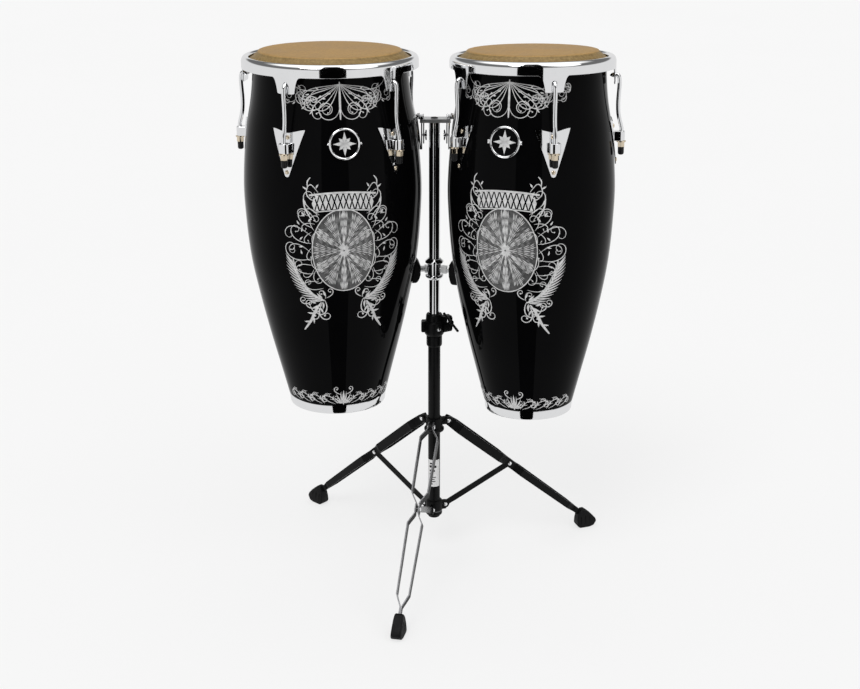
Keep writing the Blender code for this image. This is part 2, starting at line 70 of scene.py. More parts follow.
# ------------------------------------------------------------------ materials
class Nodes:
    def __init__(self, mat):
        mat.use_nodes = True
        self.tree = mat.node_tree
        self.shader = self.tree.nodes["Principled BSDF"]

    def add(self, kind, **values):
        node = self.tree.nodes.new(kind)
        for key, value in values.items():
            if key in node.inputs:
                node.inputs[key].default_value = value
            else:
                setattr(node, key, value)
        return node

    def link(self, a, b):
        self.tree.links.new(a, b)

    def coords(self):
        return self.add("ShaderNodeTexCoord").outputs["Object"]

    def noise(self, scale, detail=6, rough=0.6, vector=None):
        node = self.add("ShaderNodeTexNoise", Scale=scale, Detail=detail, Roughness=rough)
        self.link(vector or self.coords(), node.inputs["Vector"])
        return node.outputs["Fac"]

    def ramp(self, fac, *stops):
        node = self.add("ShaderNodeValToRGB")
        ramp = node.color_ramp
        while len(ramp.elements) < len(stops):
            ramp.elements.new(0.5)
        for element, (at, color) in zip(ramp.elements, stops):
            element.position = at
            element.color = color if len(color) == 4 else (*color, 1)
        self.link(fac, node.inputs["Fac"])
        return node.outputs["Color"]

    def bump(self, height, distance, strength=1.0, normal=None):
        node = self.add("ShaderNodeBump", Strength=strength, Distance=distance)
        self.link(height, node.inputs["Height"])
        if normal:
            self.link(normal, node.inputs["Normal"])
        return node.outputs["Normal"]


def grey(v):
    return (v, v, v)


def metal(name, color, rough0, rough1, scale=60, bump=0.0):
    mat = bpy.data.materials.new(name)
    n = Nodes(mat)
    n.shader.inputs["Metallic"].default_value = 1.0
    fac = n.noise(scale, 8, 0.65)
    n.link(n.ramp(fac, (0.3, tuple(c * 0.96 for c in color)), (0.7, color)), n.shader.inputs["Base Color"])
    n.link(n.ramp(fac, (0.35, grey(rough0)), (0.75, grey(rough1))), n.shader.inputs["Roughness"])
    if bump:
        n.link(n.bump(n.noise(scale * 8, 3), bump), n.shader.inputs["Normal"])
    return mat


def coated(name, color, rough0, rough1, scale, bump, coat=0.0, fine=900, coat_rough=0.03):
    mat = bpy.data.materials.new(name)
    n = Nodes(mat)
    fac = n.noise(scale, 8, 0.6)
    n.link(n.ramp(fac, (0.3, tuple(c * 0.75 for c in color)), (0.75, tuple(c * 1.3 for c in color))),
           n.shader.inputs["Base Color"])
    n.link(n.ramp(fac, (0.3, grey(rough0)), (0.7, grey(rough1))), n.shader.inputs["Roughness"])
    n.shader.inputs["Coat Weight"].default_value = coat
    n.shader.inputs["Coat Roughness"].default_value = coat_rough
    if bump:
        n.link(n.bump(n.noise(fine, 3), bump), n.shader.inputs["Normal"])
    return mat


CHROME = metal("polished_chrome", (0.93, 0.935, 0.945), 0.035, 0.085, 35)
NICKEL = metal("warm_plated_nut", (0.80, 0.69, 0.53), 0.12, 0.26, 70)
SATIN = metal("satin_plated_steel", (0.88, 0.885, 0.89), 0.3, 0.42, 60, 0.00002)
EDGE = metal("rubbed_dark_edge", (0.15, 0.15, 0.155), 0.3, 0.5, 90, 0.00005)
STEEL = metal("worn_steel_edge", (0.56, 0.56, 0.57), 0.2, 0.42, 90, 0.00005)
BLACK = coated("black_powder_coat", (0.0035, 0.0036, 0.0038), 0.28, 0.42, 50, 0.00004, 0.0, 2200, 0.2)
BLACK.node_tree.nodes["Principled BSDF"].inputs["Specular IOR Level"].default_value = 0.12
PLASTIC = coated("black_cap_plastic", (0.006, 0.006, 0.0065), 0.3, 0.45, 120, 0.00002)
PLASTIC.node_tree.nodes["Principled BSDF"].inputs["Specular IOR Level"].default_value = 0.25
RUBBER = coated("moulded_rubber", (0.0045, 0.0045, 0.0048), 0.5, 0.72, 90, 0.00008, 0.0, 1500)
RUBBER.node_tree.nodes["Principled BSDF"].inputs["Specular IOR Level"].default_value = 0.16
LACQUER = coated("black_lacquer", (0.0016, 0.0016, 0.0018), 0.2, 0.3, 7, 0.000002, 1.0, 70, 0.018)
LACQUER.node_tree.nodes["Principled BSDF"].inputs["Coat IOR"].default_value = 1.12
LACQUER.node_tree.nodes["Principled BSDF"].inputs["Specular IOR Level"].default_value = 0.0


def wood_material():
    mat = bpy.data.materials.new("bare_stave_wood")
    n = Nodes(mat)
    mapping = n.add("ShaderNodeMapping")
    mapping.inputs["Scale"].default_value = (9, 9, 0.7)
    n.link(n.coords(), mapping.inputs["Vector"])
    fac = n.noise(9, 9, 0.6, mapping.outputs["Vector"])
    n.link(n.ramp(fac, (0.3, (0.30, 0.17, 0.08)), (0.55, (0.45, 0.28, 0.14)), (0.75, (0.56, 0.38, 0.21))),
           n.shader.inputs["Base Color"])
    n.link(n.ramp(fac, (0.3, grey(0.5)), (0.7, grey(0.7))), n.shader.inputs["Roughness"])
    n.link(n.bump(fac, 0.0003), n.shader.inputs["Normal"])
    return mat


def rawhide_material():
    mat = bpy.data.materials.new("rawhide_skin")
    n = Nodes(mat)
    coords = n.coords()
    split = n.add("ShaderNodeSeparateXYZ")
    n.link(coords, split.inputs["Vector"])
    big = n.noise(7, 10, 0.62, coords)
    fine = n.noise(160, 8, 0.7, coords)
    stretch = n.add("ShaderNodeMapping")
    stretch.inputs["Rotation"].default_value = (0, 0, 0.5)
    stretch.inputs["Scale"].default_value = (12, 90, 40)
    n.link(coords, stretch.inputs["Vector"])
    fibres = n.noise(3.2, 9, 0.68, stretch.outputs["Vector"])
    tone = n.ramp(big, (0.3, (0.318, 0.188, 0.064)), (0.5, (0.372, 0.225, 0.078)), (0.72, (0.414, 0.256, 0.093)))
    speck = n.ramp(fine, (0.34, grey(0.55)), (0.5, grey(1.0)), (0.8, grey(1.12)))
    streak = n.ramp(fibres, (0.3, grey(0.86)), (0.6, grey(1.05)))
    mix1 = n.add("ShaderNodeMix", data_type="RGBA", blend_type="MULTIPLY")
    mix1.inputs["Factor"].default_value = 0.55
    n.link(tone, mix1.inputs["A"])
    n.link(speck, mix1.inputs["B"])
    mix2 = n.add("ShaderNodeMix", data_type="RGBA", blend_type="MULTIPLY")
    mix2.inputs["Factor"].default_value = 0.8
    n.link(mix1.outputs["Result"], mix2.inputs["A"])
    n.link(streak, mix2.inputs["B"])
    # the skirt is darker and rougher below the crease
    low = n.add("ShaderNodeMapRange")
    low.inputs["From Min"].default_value = -0.0002
    low.inputs["From Max"].default_value = -0.0016
    n.link(split.outputs["Z"], low.inputs["Value"])
    skirt = n.ramp(fine, (0.3, (0.148, 0.094, 0.032)), (0.46, (0.218, 0.144, 0.053)), (0.62, (0.278, 0.19, 0.074)), (0.78, (0.345, 0.248, 0.108)))
    mix3 = n.add("ShaderNodeMix", data_type="RGBA")
    n.link(low.outputs["Result"], mix3.inputs["Factor"])
    n.link(mix2.outputs["Result"], mix3.inputs["A"])
    n.link(skirt, mix3.inputs["B"])
    n.link(mix3.outputs["Result"], n.shader.inputs["Base Color"])
    n.link(n.ramp(big, (0.3, grey(0.42)), (0.7, grey(0.6))), n.shader.inputs["Roughness"])
    n.shader.inputs["Specular IOR Level"].default_value = 0.25
    first = n.bump(fine, 0.0003, 0.4)
    n.link(n.bump(fibres, 0.0003, 0.35, first), n.shader.inputs["Normal"])
    return mat


def ink(name, low, high, rough):
    mat = bpy.data.materials.new(name)
    n = Nodes(mat)
    fac = n.noise(140, 8, 0.75)
    n.link(n.ramp(fac, (0.35, grey(low)), (0.65, grey(high))), n.shader.inputs["Base Color"])
    n.link(n.ramp(fac, (0.3, grey(rough)), (0.7, grey(rough + 0.15))), n.shader.inputs["Roughness"])
    n.shader.inputs["Coat Weight"].default_value = 0.6
    n.shader.inputs["Coat Roughness"].default_value = 0.05
    return mat


def sticker_material():
    mat = bpy.data.materials.new("sticker_paper")
    n = Nodes(mat)
    fac = n.noise(260, 6, 0.6)
    n.link(n.ramp(fac, (0.3, grey(0.62)), (0.7, grey(0.74))), n.shader.inputs["Base Color"])
    n.link(n.ramp(fac, (0.3, grey(0.35)), (0.7, grey(0.5))), n.shader.inputs["Roughness"])
    return mat


WOOD, RAWHIDE, STICKER = wood_material(), rawhide_material(), sticker_material()
# a lighter, glossier copy of the black powder coat with painted sheen, standing in for the light the front brace
# catches
PAINTED_SHEEN_BLACK = coated("black_strip_painted_sheen", (0.05, 0.05, 0.052), 0.2, 0.3, 50, 0.00003, 0.3, 1800, 0.15)
INK = ink("silver_ink", 0.40, 0.66, 0.35)
INK_MID = ink("grey_ink", 0.10, 0.24, 0.4)
INK_DARK = ink("dark_grey_ink", 0.025, 0.07, 0.4)


# ------------------------------------------------------------------- meshing
def from_bmesh(bm, recalc=True):
    if recalc:
        bmesh.ops.recalc_face_normals(bm, faces=bm.faces)
    mesh = bpy.data.meshes.new("shape")
    bm.to_mesh(mesh)
    bm.free()
    return mesh


def evaluated(obj):
    bpy.context.view_layer.update()
    graph = bpy.context.evaluated_depsgraph_get()
    mesh = bpy.data.meshes.new_from_object(obj.evaluated_get(graph))
    bpy.data.objects.remove(obj)
    return mesh


def temp(mesh):
    obj = bpy.data.objects.new("temp", mesh)
    scene.collection.objects.link(obj)
    return obj


def lathe(profile, segments=96, close=False):
    """A turned mesh: rings of points round Z, from a profile of (radius, height) in mm."""
    bm = bmesh.new()
    rings = []
    for r, z in profile:
        if r < 1e-6:
            rings.append([bm.verts.new((0, 0, z * MM))])
        else:
            rings.append([bm.verts.new((r * MM * math.cos(2 * math.pi * i / segments),
                                        r * MM * math.sin(2 * math.pi * i / segments), z * MM))
                          for i in range(segments)])
    pairs = list(zip(rings, rings[1:])) + ([(rings[-1], rings[0])] if close else [])
    for a, b in pairs:
        for i in range(segments):
            j = (i + 1) % segments
            if len(a) == 1 and len(b) == 1:
                continue
            if len(a) == 1:
                bm.faces.new((a[0], b[j], b[i]))
            elif len(b) == 1:
                bm.faces.new((a[i], a[j], b[0]))
            else:
                bm.faces.new((a[i], a[j], b[j], b[i]))
    return from_bmesh(bm)


def slab(outline, half, taper=None):
    bm = bmesh.new()
    rows = [[bm.verts.new((x * MM, y * MM * (taper(x, z) if taper else 1), z * MM)) for x, z in outline]
            for y in (-half, half)]
    bm.faces.new(rows[0])
    bm.faces.new(list(reversed(rows[1])))
    n = len(outline)
    for i in range(n):
        bm.faces.new((rows[0][i], rows[1][i], rows[1][(i + 1) % n], rows[0][(i + 1) % n]))
    return from_bmesh(bm)


def box(low, high):
    bm = bmesh.new()
    bmesh.ops.create_cube(bm, size=1)
    bmesh.ops.scale(bm, vec=[(b - a) * MM for a, b in zip(low, high)], verts=bm.verts)
    bmesh.ops.translate(bm, vec=[(a + b) / 2 * MM for a, b in zip(low, high)], verts=bm.verts)
    return from_bmesh(bm)


def rod(start, end, radius, segments=32, radius2=None):
    a, b = Vector(start) * MM, Vector(end) * MM
    bm = bmesh.new()
    turn = Vector((0, 0, 1)).rotation_difference(b - a).to_matrix().to_4x4()
    bmesh.ops.create_cone(bm, cap_ends=True, segments=segments, radius1=radius * MM,
                          radius2=(radius if radius2 is None else radius2) * MM, depth=(b - a).length,
                          matrix=Matrix.Translation((a + b) / 2) @ turn)
    return from_bmesh(bm)


def dome(at, out, radius, height, segments=24):
    """A domed rivet or screw head, standing on point at along out."""
    rows = [(0, height)] + [(radius * math.sin(math.radians(a)), height * math.cos(math.radians(a)))
                            for a in (20, 40, 60, 78, 90)] + [(radius, -0.6), (0, -0.6)]
    mesh = lathe(rows, segments)
    turn = Vector((0, 0, 1)).rotation_difference(Vector(out)).to_matrix().to_4x4()
    mesh.transform(Matrix.Translation(Vector(at) * MM) @ turn)
    return mesh


def moved(mesh, matrix):
    copy = mesh.copy()
    copy.transform(matrix)
    return copy


def joined(base, *steps, solver="EXACT"):
    obj = temp(base)
    others = []
    for step in steps:
        other = temp(moved(step[1], step[2]) if len(step) > 2 else step[1])
        cut = obj.modifiers.new("cut", "BOOLEAN")
        cut.operation, cut.solver, cut.object = step[0], solver, other
        others.append(other)
    mesh = evaluated(obj)
    for other in others:
        bpy.data.objects.remove(other)
    mesh.materials.clear()
    return mesh


def merged(*meshes):
    """Several closed bodies in one mesh. Each may be (mesh, material index)."""
    bm = bmesh.new()
    for item in meshes:
        mesh, index = item if isinstance(item, tuple) else (item, None)
        before = len(bm.faces)
        bm.from_mesh(mesh)
        bm.faces.ensure_lookup_table()
        if index is not None:
            for face in bm.faces[before:]:
                face.material_index = index
    return from_bmesh(bm, recalc=False)


def sweep(points, radius, sides=16, closed_ends=True, radii=None):
    """A round tube along points (Vectors, mm), with parallel-transported rings."""
    bm = bmesh.new()
    pts = [Vector(p) for p in points]
    tangents = []
    for i in range(len(pts)):
        a, b = pts[max(i - 1, 0)], pts[min(i + 1, len(pts) - 1)]
        tangents.append((b - a).normalized())
    normal = tangents[0].orthogonal().normalized()
    rings = []
    for i, (p, t) in enumerate(zip(pts, tangents)):
        normal = (normal - t * normal.dot(t)).normalized()
        side = t.cross(normal)
        r = radii[i] if radii else radius
        rings.append([bm.verts.new((p + (normal * math.cos(2 * math.pi * k / sides)
                                         + side * math.sin(2 * math.pi * k / sides)) * r) * MM)
                      for k in range(sides)])
    for a, b in zip(rings, rings[1:]):
        for k in range(sides):
            bm.faces.new((a[k], a[(k + 1) % sides], b[(k + 1) % sides], b[k]))
    bm.faces.new(list(reversed(rings[0])))
    bm.faces.new(rings[-1])
    return from_bmesh(bm)


def catmull(points, per=8):
    pts = [Vector(p) for p in points]
    out = []
    for i in range(len(pts) - 1):
        p0, p1, p2, p3 = pts[max(i - 1, 0)], pts[i], pts[i + 1], pts[min(i + 2, len(pts) - 1)]
        for k in range(per):
            t = k / per
            out.append(0.5 * ((2 * p1) + (p2 - p0) * t + (2 * p0 - 5 * p1 + 4 * p2 - p3) * t * t
                              + (3 * p1 - p0 - 3 * p2 + p3) * t ** 3))
    out.append(pts[-1])
    return out


def arc(cx, cz, radius, start, end, steps):
    return [(cx + radius * math.cos(math.radians(start + (end - start) * i / steps)),
             cz + radius * math.sin(math.radians(start + (end - start) * i / steps)))
            for i in range(steps + 1)]


def smooth(mesh, angle=32):
    mesh.shade_smooth()
    mesh.set_sharp_from_angle(angle=math.radians(angle))
    return mesh


def piece(name, mesh, mats, body, nodes=(), matrix=None, bevel=0.0, segments=2, angle=32, sharp=True):
    obj = bpy.data.objects.new(name, mesh)
    scene.collection.objects.link(obj)
    places = [face.material_index for face in mesh.polygons]
    mesh.materials.clear()
    for mat in mats if isinstance(mats, (list, tuple)) else [mats]:
        mesh.materials.append(mat)
    mesh.polygons.foreach_set("material_index", places)
    if sharp:
        smooth(mesh, angle)
    else:
        mesh.shade_smooth()
    if bevel:
        mod = obj.modifiers.new("edges", "BEVEL")
        mod.width = bevel * MM
        mod.segments = segments
        mod.limit_method = "ANGLE"
        mod.angle_limit = math.radians(35)
        mod.harden_normals = True
        mesh.shade_smooth()
    obj.matrix_world = matrix if matrix is not None else ON_POLE
    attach(obj, body)
    if nodes:
        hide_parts(*([nodes] if isinstance(nodes, str) else nodes))
    return obj


def turn_z(degrees):
    return Matrix.Rotation(math.radians(degrees), 4, "Z")


# --------------------------------------------------------------------- stand
clevis = joined(
    slab([(12.0, 97), (26, 97), *arc(BRACE_PIVOT_R, BRACE_PIVOT_Z, 8.5, -75, 90, 14), (12.0, 117)], 4.4),
    ("DIFFERENCE", box((17.9, -1.8, 90), (40, 1.8, 130))),
)
base = lathe([(12.7, 496.4), (12.7, 122), (16.6, 121), (17.5, 119.5), (17.5, 90), (16.4, 88.4), (12.7, 87.4),
              (12.7, 84), (12.2, 83), (11.5, 83), (11.5, 496.4)], 64, close=True)
base = joined(base, *[("UNION", moved(clevis, turn_z(a - 90))) for a in LEG_AZIMUTHS.values()])
piece("lower_tube_with_brace_collar", base, BLACK, "base", "base_tube", bevel=0.5)
rivets = []
for a in LEG_AZIMUTHS.values():
    for y in (-1, 1):
        rivets.append(moved(dome((BRACE_PIVOT_R, y * 4.5, BRACE_PIVOT_Z), (0, y, 0), 4.2, 2.2), turn_z(a - 90)))
    rivets.append(moved(rod((BRACE_PIVOT_R, -4.6, BRACE_PIVOT_Z), (BRACE_PIVOT_R, 4.6, BRACE_PIVOT_Z), 2.5), turn_z(a - 90)))
piece("brace_collar_rivets", merged(*rivets), CHROME, "base")
piece("tube_band", lathe([(17.3, 97.0), (17.8, 97.4), (17.8, 99.2), (17.3, 99.6)], 64, close=True), EDGE, "base")


def wrap(radius, thick, low, high, start, end, steps=48):
    """A thin closed patch wrapped round the pole, from azimuth start to end."""
    bm = bmesh.new()
    rows = []
    for i in range(steps + 1):
        a = math.radians(start + (end - start) * i / steps)
        rows.append([bm.verts.new((r * MM * math.sin(a), -r * MM * math.cos(a), z * MM))
                     for r, z in ((radius, low), (radius + thick, low), (radius + thick, high), (radius, high))])
    for a, b in zip(rows, rows[1:]):
        for k in range(4):
            bm.faces.new((a[k], b[k], b[(k + 1) % 4], a[(k + 1) % 4]))
    bm.faces.new(rows[0])
    bm.faces.new(list(reversed(rows[-1])))
    return from_bmesh(bm)


marks = [wrap(12.82, 0.08, z0, z1, a0, a1, 16) for z0, z1, a0, a1 in (
    (209, 212, -44, -6), (201, 206, -48, -20), (201, 206, -12, 22), (192, 196, -46, 8), (184, 188, -46, -8), (178, 180, -46, 16),
    (173, 175, -46, 4), (168, 170, -46, 12), (162, 164.5, -46, -14))]
piece("plain_sticker", merged((wrap(12.72, 0.1, 157, 219, -100, 62), 0), *[(m_, 1) for m_ in marks]), [STICKER, PLASTIC], "base")

BOLT_DIR, BOLT_SIDE = Vector((0.5, -0.866, 0)), Vector((0.866, 0.5, 0))
BOLT_AT = Vector((27.0, -5.0, 530.0))
ear = Matrix(((*BOLT_DIR, 0), (*BOLT_SIDE, 0), (0, 0, 1, 0), (0, 0, 0, 1))).transposed()
ear.translation = BOLT_AT * MM
clamp = lathe([(14.6, 544), (15.8, 543.2), (16.8, 541), (17.4, 533), (17.6, 530), (19.6, 528.8), (21.5, 526.5),
               (21.8, 516), (21.5, 506), (19.2, 500.5), (16.2, 496.6), (15.4, 496.2), (16.1, 495.4), (16.2, 494.6),
               (16.2, 478), (15.6, 475.4), (14.4, 474), (13.0, 474), (13.0, 497), (11.5, 497), (11.5, 544)], 64, close=True)
clamp = joined(
    clamp,
    ("UNION", slab([(-27, 507.5), (-25, 505), (-14, 505), (-14, 528), (-25, 528), (-27, 525.5)], 8)),
    ("UNION", slab([(-13, -24), (1.5, -24), (4.5, -19), (4.5, 5), (1.5, 9), (-13, 9)], 9.5), ear),
    ("DIFFERENCE", rod((-12.5, 0, 0), (8, 0, 0), 3.9, 24), ear),
    ("DIFFERENCE", rod((0, 0, 500), (0, 0, 560), 11.5, 64)),
    ("DIFFERENCE", box((-1.2, 10, 505), (1.2, 30, 560))),
)
piece("height_clamp_casting", clamp, BLACK, "base", "height_clamp", bevel=0.9, segments=3)
front = Matrix.Rotation(math.radians(26), 4, "Z")
piece("clamp_screw", merged(
    moved(dome((0, -21.4, 515), (0, -1, 0), 4.0, 1.8), front),
    moved(rod((0, -22.2, 515), (0, -18.5, 515), 4.9, 6), front)), CHROME, "base", bevel=0.3)
tilt = math.radians(-53)
bar = Vector((0, math.cos(tilt), math.sin(tilt)))
mid = Vector((14, 0, 0))
bar_points = [mid + bar * v for v in (-29, -28.2, *[-27 + 2.7 * i for i in range(21)], 28.2, 29)]
thread = [(0, -7), (3.0, -7)]
for i in range(14):
    thread += [(3.5, -6.4 + i * 1.25), (3.05, -6.4 + i * 1.25 + 0.62)]
thread += [(3.5, 11.5), (0, 11.5)]
stud = moved(lathe(list(reversed(thread)), 24), Matrix.Rotation(math.pi / 2, 4, "Y"))
hub = moved(lathe([(0, 18.6), (3.8, 18.5), (4.8, 17.6), (5, 16.6), (5, 10.6), (4.4, 9.6), (0, 9.6)], 32),
            Matrix.Rotation(math.pi / 2, 4, "Y"))
bolt_frame = ON_POLE @ Matrix.Translation(BOLT_AT * MM) @ Matrix.Rotation(math.atan2(BOLT_DIR.y, BOLT_DIR.x), 4, "Z")
piece("height_t_bolt", merged((stud, 1), (hub, 0), (sweep(bar_points, 2.3, 20, radii=[1.2, 2.4] + [2.9 - 0.45 * (i % 2) for i in range(21)] + [2.4, 1.2]), 0)),
      [BLACK, CHROME], "height_bolt", "height_bolt", matrix=bolt_frame)

piece("chrome_mast", lathe([(11.1, 942.9), (11.1, 257), (10.7, 255), (9.6, 255), (9.6, 942.9)], 64, close=True),
      CHROME, "mast", "upper_tube")
xl, xr = DRUMS["left"]["tongue"], DRUMS["right"]["tongue"]
steps = [("UNION", rod((0, 0, 922), (0, 0, 944.3), 9.2, 32)),
         ("UNION", box((-xl - 4.6, -15, 939.2), (xr + 4.6, -13.5, 944.3))), ("UNION", box((-xl - 4.6, 13.5, 939.2), (xr + 4.6, 15, 944.3)))]
for x, side in ((xl, -1), (xr, 1)):
    a, b = sorted((side * (x - 4.0), side * (x - 1.5)))
    steps.append(("UNION", joined(box((a, -10.8, 898), (b, 10.8, 944.3)),
                                  ("DIFFERENCE", rod((a - 2, 0, 913), (b + 2, 0, 913), 2.9, 24)))))
    a, b = sorted((side * (x - 1.2), side * (x + 10)))
    steps.append(("DIFFERENCE", box((a, -11, 930), (b, 11, 960))))
crossbar = joined(box((-xl - 4.6, -15, 943.3), (xr + 4.6, 15, 946.3)), *steps)
piece("crossbar_plate", crossbar, SATIN, "mast", "crossbar", bevel=0.6, segments=3)
piece("crossbar_screw", lathe([(0, 948.6), (4, 948.4), (6.6, 947.6), (7.6, 946.4), (7.6, 946.0), (0, 946.0)], 48),
      PLASTIC, "mast")

for name, x, side in (("left", xl, -1), ("right", xr, 1)):
    lobe = [(0, -3.2), (3.4, -5.2), (6.2, -9.2), (8.6, -10.4), (10.5, -8.6), (10.6, -5), (8.4, -1.6), (7.6, 0)]
    half = [(p[0] * 0.42 + 2.0, p[1]) for p in lobe]
    outline = [(z, 5.2 + d) for d, z in []]
    wing = slab([(-5.2, -3.4), (-5.2, 3.4), (-6.0, 7.5), (-6.4, 9.8), (-7.6, 10.6), (-8.8, 9.6), (-9.0, 6.5),
                 (-8.4, 3), (-8.4, -3), (-9.0, -6.5), (-8.8, -9.6), (-7.6, -10.6), (-6.4, -9.8), (-6.0, -7.5)], 1.5)
    parts_ = [wing, moved(lathe([(0, 9.6), (3.4, 9.4), (4.2, 8.6), (4.5, 5), (4.5, 4.5), (0, 4.5)], 32),
                          Matrix.Rotation(-math.pi / 2, 4, "Y")),
              moved(lathe([(0, 5), (2.5, 5), (2.5, 0.8), (2.0, 0.3), (0, 0.3)], 24), Matrix.Rotation(-math.pi / 2, 4, "Y"))]
    mesh = merged(*parts_)
    if side < 0:
        mesh.transform(Matrix.Rotation(math.pi, 4, "Z"))
    piece("wing_screw_" + name, mesh, CHROME, "wing_bolt_" + name, "wing_bolt_" + name,
          matrix=ON_POLE @ Matrix.Translation(Vector((side * x, 0, 913)) * MM), bevel=0.35)

support = lathe([(12.6, 662), (13.2, 661.6), (18.2, 657.2), (18.8, 656.4), (18.8, 653.8), (18.2, 653), (14.6, 652.2),
                 (14.2, 651.2), (14.2, 629), (14.6, 628), (18.0, 627.2), (18.5, 626.4), (18.5, 624.2), (17.8, 623),
                 (13.2, 618.4), (12.6, 618), (11.5, 618), (11.5, 662)], 64, close=True)
steps, collars = [], []
for drum in DRUMS.values():
    out = Vector((*drum["support"], 0)).normalized()
    up = Vector((0, 0, 640))
    steps.append(("UNION", rod(out * 12.8 + up, out * (drum["pad"][0] - 0.3) + up, 4.5, 32)))
    along = Matrix(((out.x, -out.y, 0, 0), (out.y, out.x, 0, 0), (0, 0, 1, 640 * MM), (0, 0, 0, 1)))
    collars.append(moved(box((14.6, -5.2, -7.4), (drum["pad"][0] - 9.2, 5.2, 7.4)), along))
    a = drum["pad"][0] - 8.6
    collars.append(rod(out * a + up, out * (a + 8.0) + up, 6.2, 6))
piece("support_clamp_sleeve", joined(support, *steps), CHROME, "support", "support_clamp", bevel=0.3)
piece("support_arm_blocks", merged(*collars), SATIN, "support", bevel=0.5)

ear_c = joined(
    slab([(14.5, 295), (28, 294.6), *arc(LEG_PIVOT_R, LEG_PIVOT_Z, 8.4, -75, 90, 14), (14.5, 311.4)], 3.5),
    ("DIFFERENCE", rod((LEG_PIVOT_R, -8, LEG_PIVOT_Z), (LEG_PIVOT_R, 8, LEG_PIVOT_Z), 3.4, 24)))
collar = lathe([(14.8, 313.5), (16.8, 313), (17.5, 311.6), (17.5, 293), (18.4, 291.4), (20.6, 290.2), (21, 289),
                (21, 286), (20.2, 284.4), (17.4, 282.2), (13.1, 282), (13.1, 313.5)], 64, close=True)
collar = joined(collar, *[("UNION", moved(ear_c, turn_z(a - 90))) for a in LEG_AZIMUTHS.values()])
piece("leg_collar_casting", collar, BLACK, "leg_collar", "leg_collar", bevel=0.8, segments=3)

lean = math.radians(LEG_ANGLE)
ALONG = Vector((math.sin(lean), 0, -math.cos(lean)))
ACROSS = Vector((math.cos(lean), 0, math.sin(lean)))
STRIP = ((-8, 5.3, 7.5), (0, 5.3, 9.4), (9, 5.6, 10), (27, 17.4, 10), (36, 18.0, 10), (90, 17.4, 9.9), (146, 16.5, 9.6),
         (154, 15.6, 9.5), (174, 4.1, 9.0), (181, 3.7, 9), (193, 3.7, 8.7), (200, 4.1, 8.6), (218, 13.6, 8.3),
         (227, 14.5, 8.2), (300, 13.4, 7.7), (364, 12.4, 7.2), (373, 11.4, 7.1), (395, 1.9, 6.5), (401, 1.3, 6.4),
         (LEG_LENGTH - 0.5, 1.3, 6.2))


def leg_strip(side):
    """One bent strip of a leg: faces are material 0, its two long edges material 1."""
    bm = bmesh.new()
    rings = []
    rows = catmull([Vector(row) for row in STRIP], 4)
    for i, row in enumerate(rows):
        s, y, half = row
        mid = ALONG * s
        rings.append([bm.verts.new((mid + ACROSS * w + Vector((0, side * y + t, 0))) * MM)
                      for w, t in ((-half, -1.25), (half, -1.25), (half, 1.25), (-half, 1.25))])
    for a, b in zip(rings, rings[1:]):
        for i in range(4):
            face = bm.faces.new((a[i], a[(i + 1) % 4], b[(i + 1) % 4], b[i]))
            face.material_index = 1 if i in (1, 3) else 0
    bm.faces.new(rings[0])
    bm.faces.new(list(reversed(rings[-1])))
    return from_bmesh(bm)


def at_leg(s, y):
    return ALONG * s + Vector((0, y, 0))


reach_r = LEG_PIVOT_R + math.sin(lean) * LEG_TO_BRACE - BRACE_PIVOT_R
reach_z = LEG_PIVOT_Z - math.cos(lean) * LEG_TO_BRACE - BRACE_PIVOT_Z
brace_angle = math.atan2(reach_z, reach_r)
brace = joined(slab(arc(0, 0, 6.5, 90, 270, 16) + [(14, -6.0), (26, -6.5)] + [(BRACE_LENGTH - 26, -6.5)]
                    + arc(BRACE_LENGTH, 0, 6.5, -90, 90, 16) + [(BRACE_LENGTH - 26, 6.5), (26, 6.5)], 1.25),
               ("DIFFERENCE", rod((0, -4, 0), (0, 4, 0), 2.9, 24)))
brace.transform(Matrix.Rotation(-brace_angle, 4, "Y"))

foot_at = Vector((LEG_PIVOT_R, 0, LEG_PIVOT_Z))
FOOT = [(385, 11.5), (382.6, 18.5), (373, 29), (363, 37.6), (356, 43), (349.5, 43), (343.5, 38.5), (339.6, 31), (338.2, 20),
        (338.2, 8), (340.6, 2), (346, 0), (356, 0), (368, 0), (378, 2.6)]


def foot_width(x, z):
    return 1.0 - 0.34 * max(0.0, z - 8) / 36 - 0.16 * max(0.0, (x - 366) / 19)


foot = slab(FOOT, 13.2, taper=foot_width)
cuts = []
for y in (-1, 1):
    for k in range(3):
        x0 = 346 + k * 10.5
        groove = box((-1.5, -2.2, -14), (1.5, 2.2, 12 - 2 * abs(k - 1)))
        cuts.append(("DIFFERENCE", groove, Matrix.Translation(Vector((x0, y * (13.2 - 0.3), 17)) * MM)
                     @ Matrix.Rotation(math.radians(y * 9), 4, "X")))
for k in range(5):
    cuts.append(("DIFFERENCE", box((343 + k * 7.6, -11.4, -2), (345.4 + k * 7.6, 11.4, 1.4))))
socket = bmesh.new()
corners = []
for s in (380.0, LEG_LENGTH + 0.3):
    for w, y in ((-7.2, -2.9), (7.2, -2.9), (7.2, 2.9), (-7.2, 2.9)):
        corners.append(socket.verts.new((foot_at + ALONG * s + ACROSS * w + Vector((0, y, 0))) * MM))
for quad in ((3, 2, 1, 0), (4, 5, 6, 7), (0, 1, 5, 4), (1, 2, 6, 5), (2, 3, 7, 6), (3, 0, 4, 7)):
    socket.faces.new([corners[i] for i in quad])
socket = from_bmesh(socket)
rounded = temp(foot)
mod = rounded.modifiers.new("round", "BEVEL")
mod.width, mod.segments, mod.limit_method, mod.angle_limit = 3.2 * MM, 4, "ANGLE", math.radians(40)
foot = joined(evaluated(rounded), ("DIFFERENCE", socket), *cuts)
foot.transform(Matrix.Translation(-foot_at * MM))

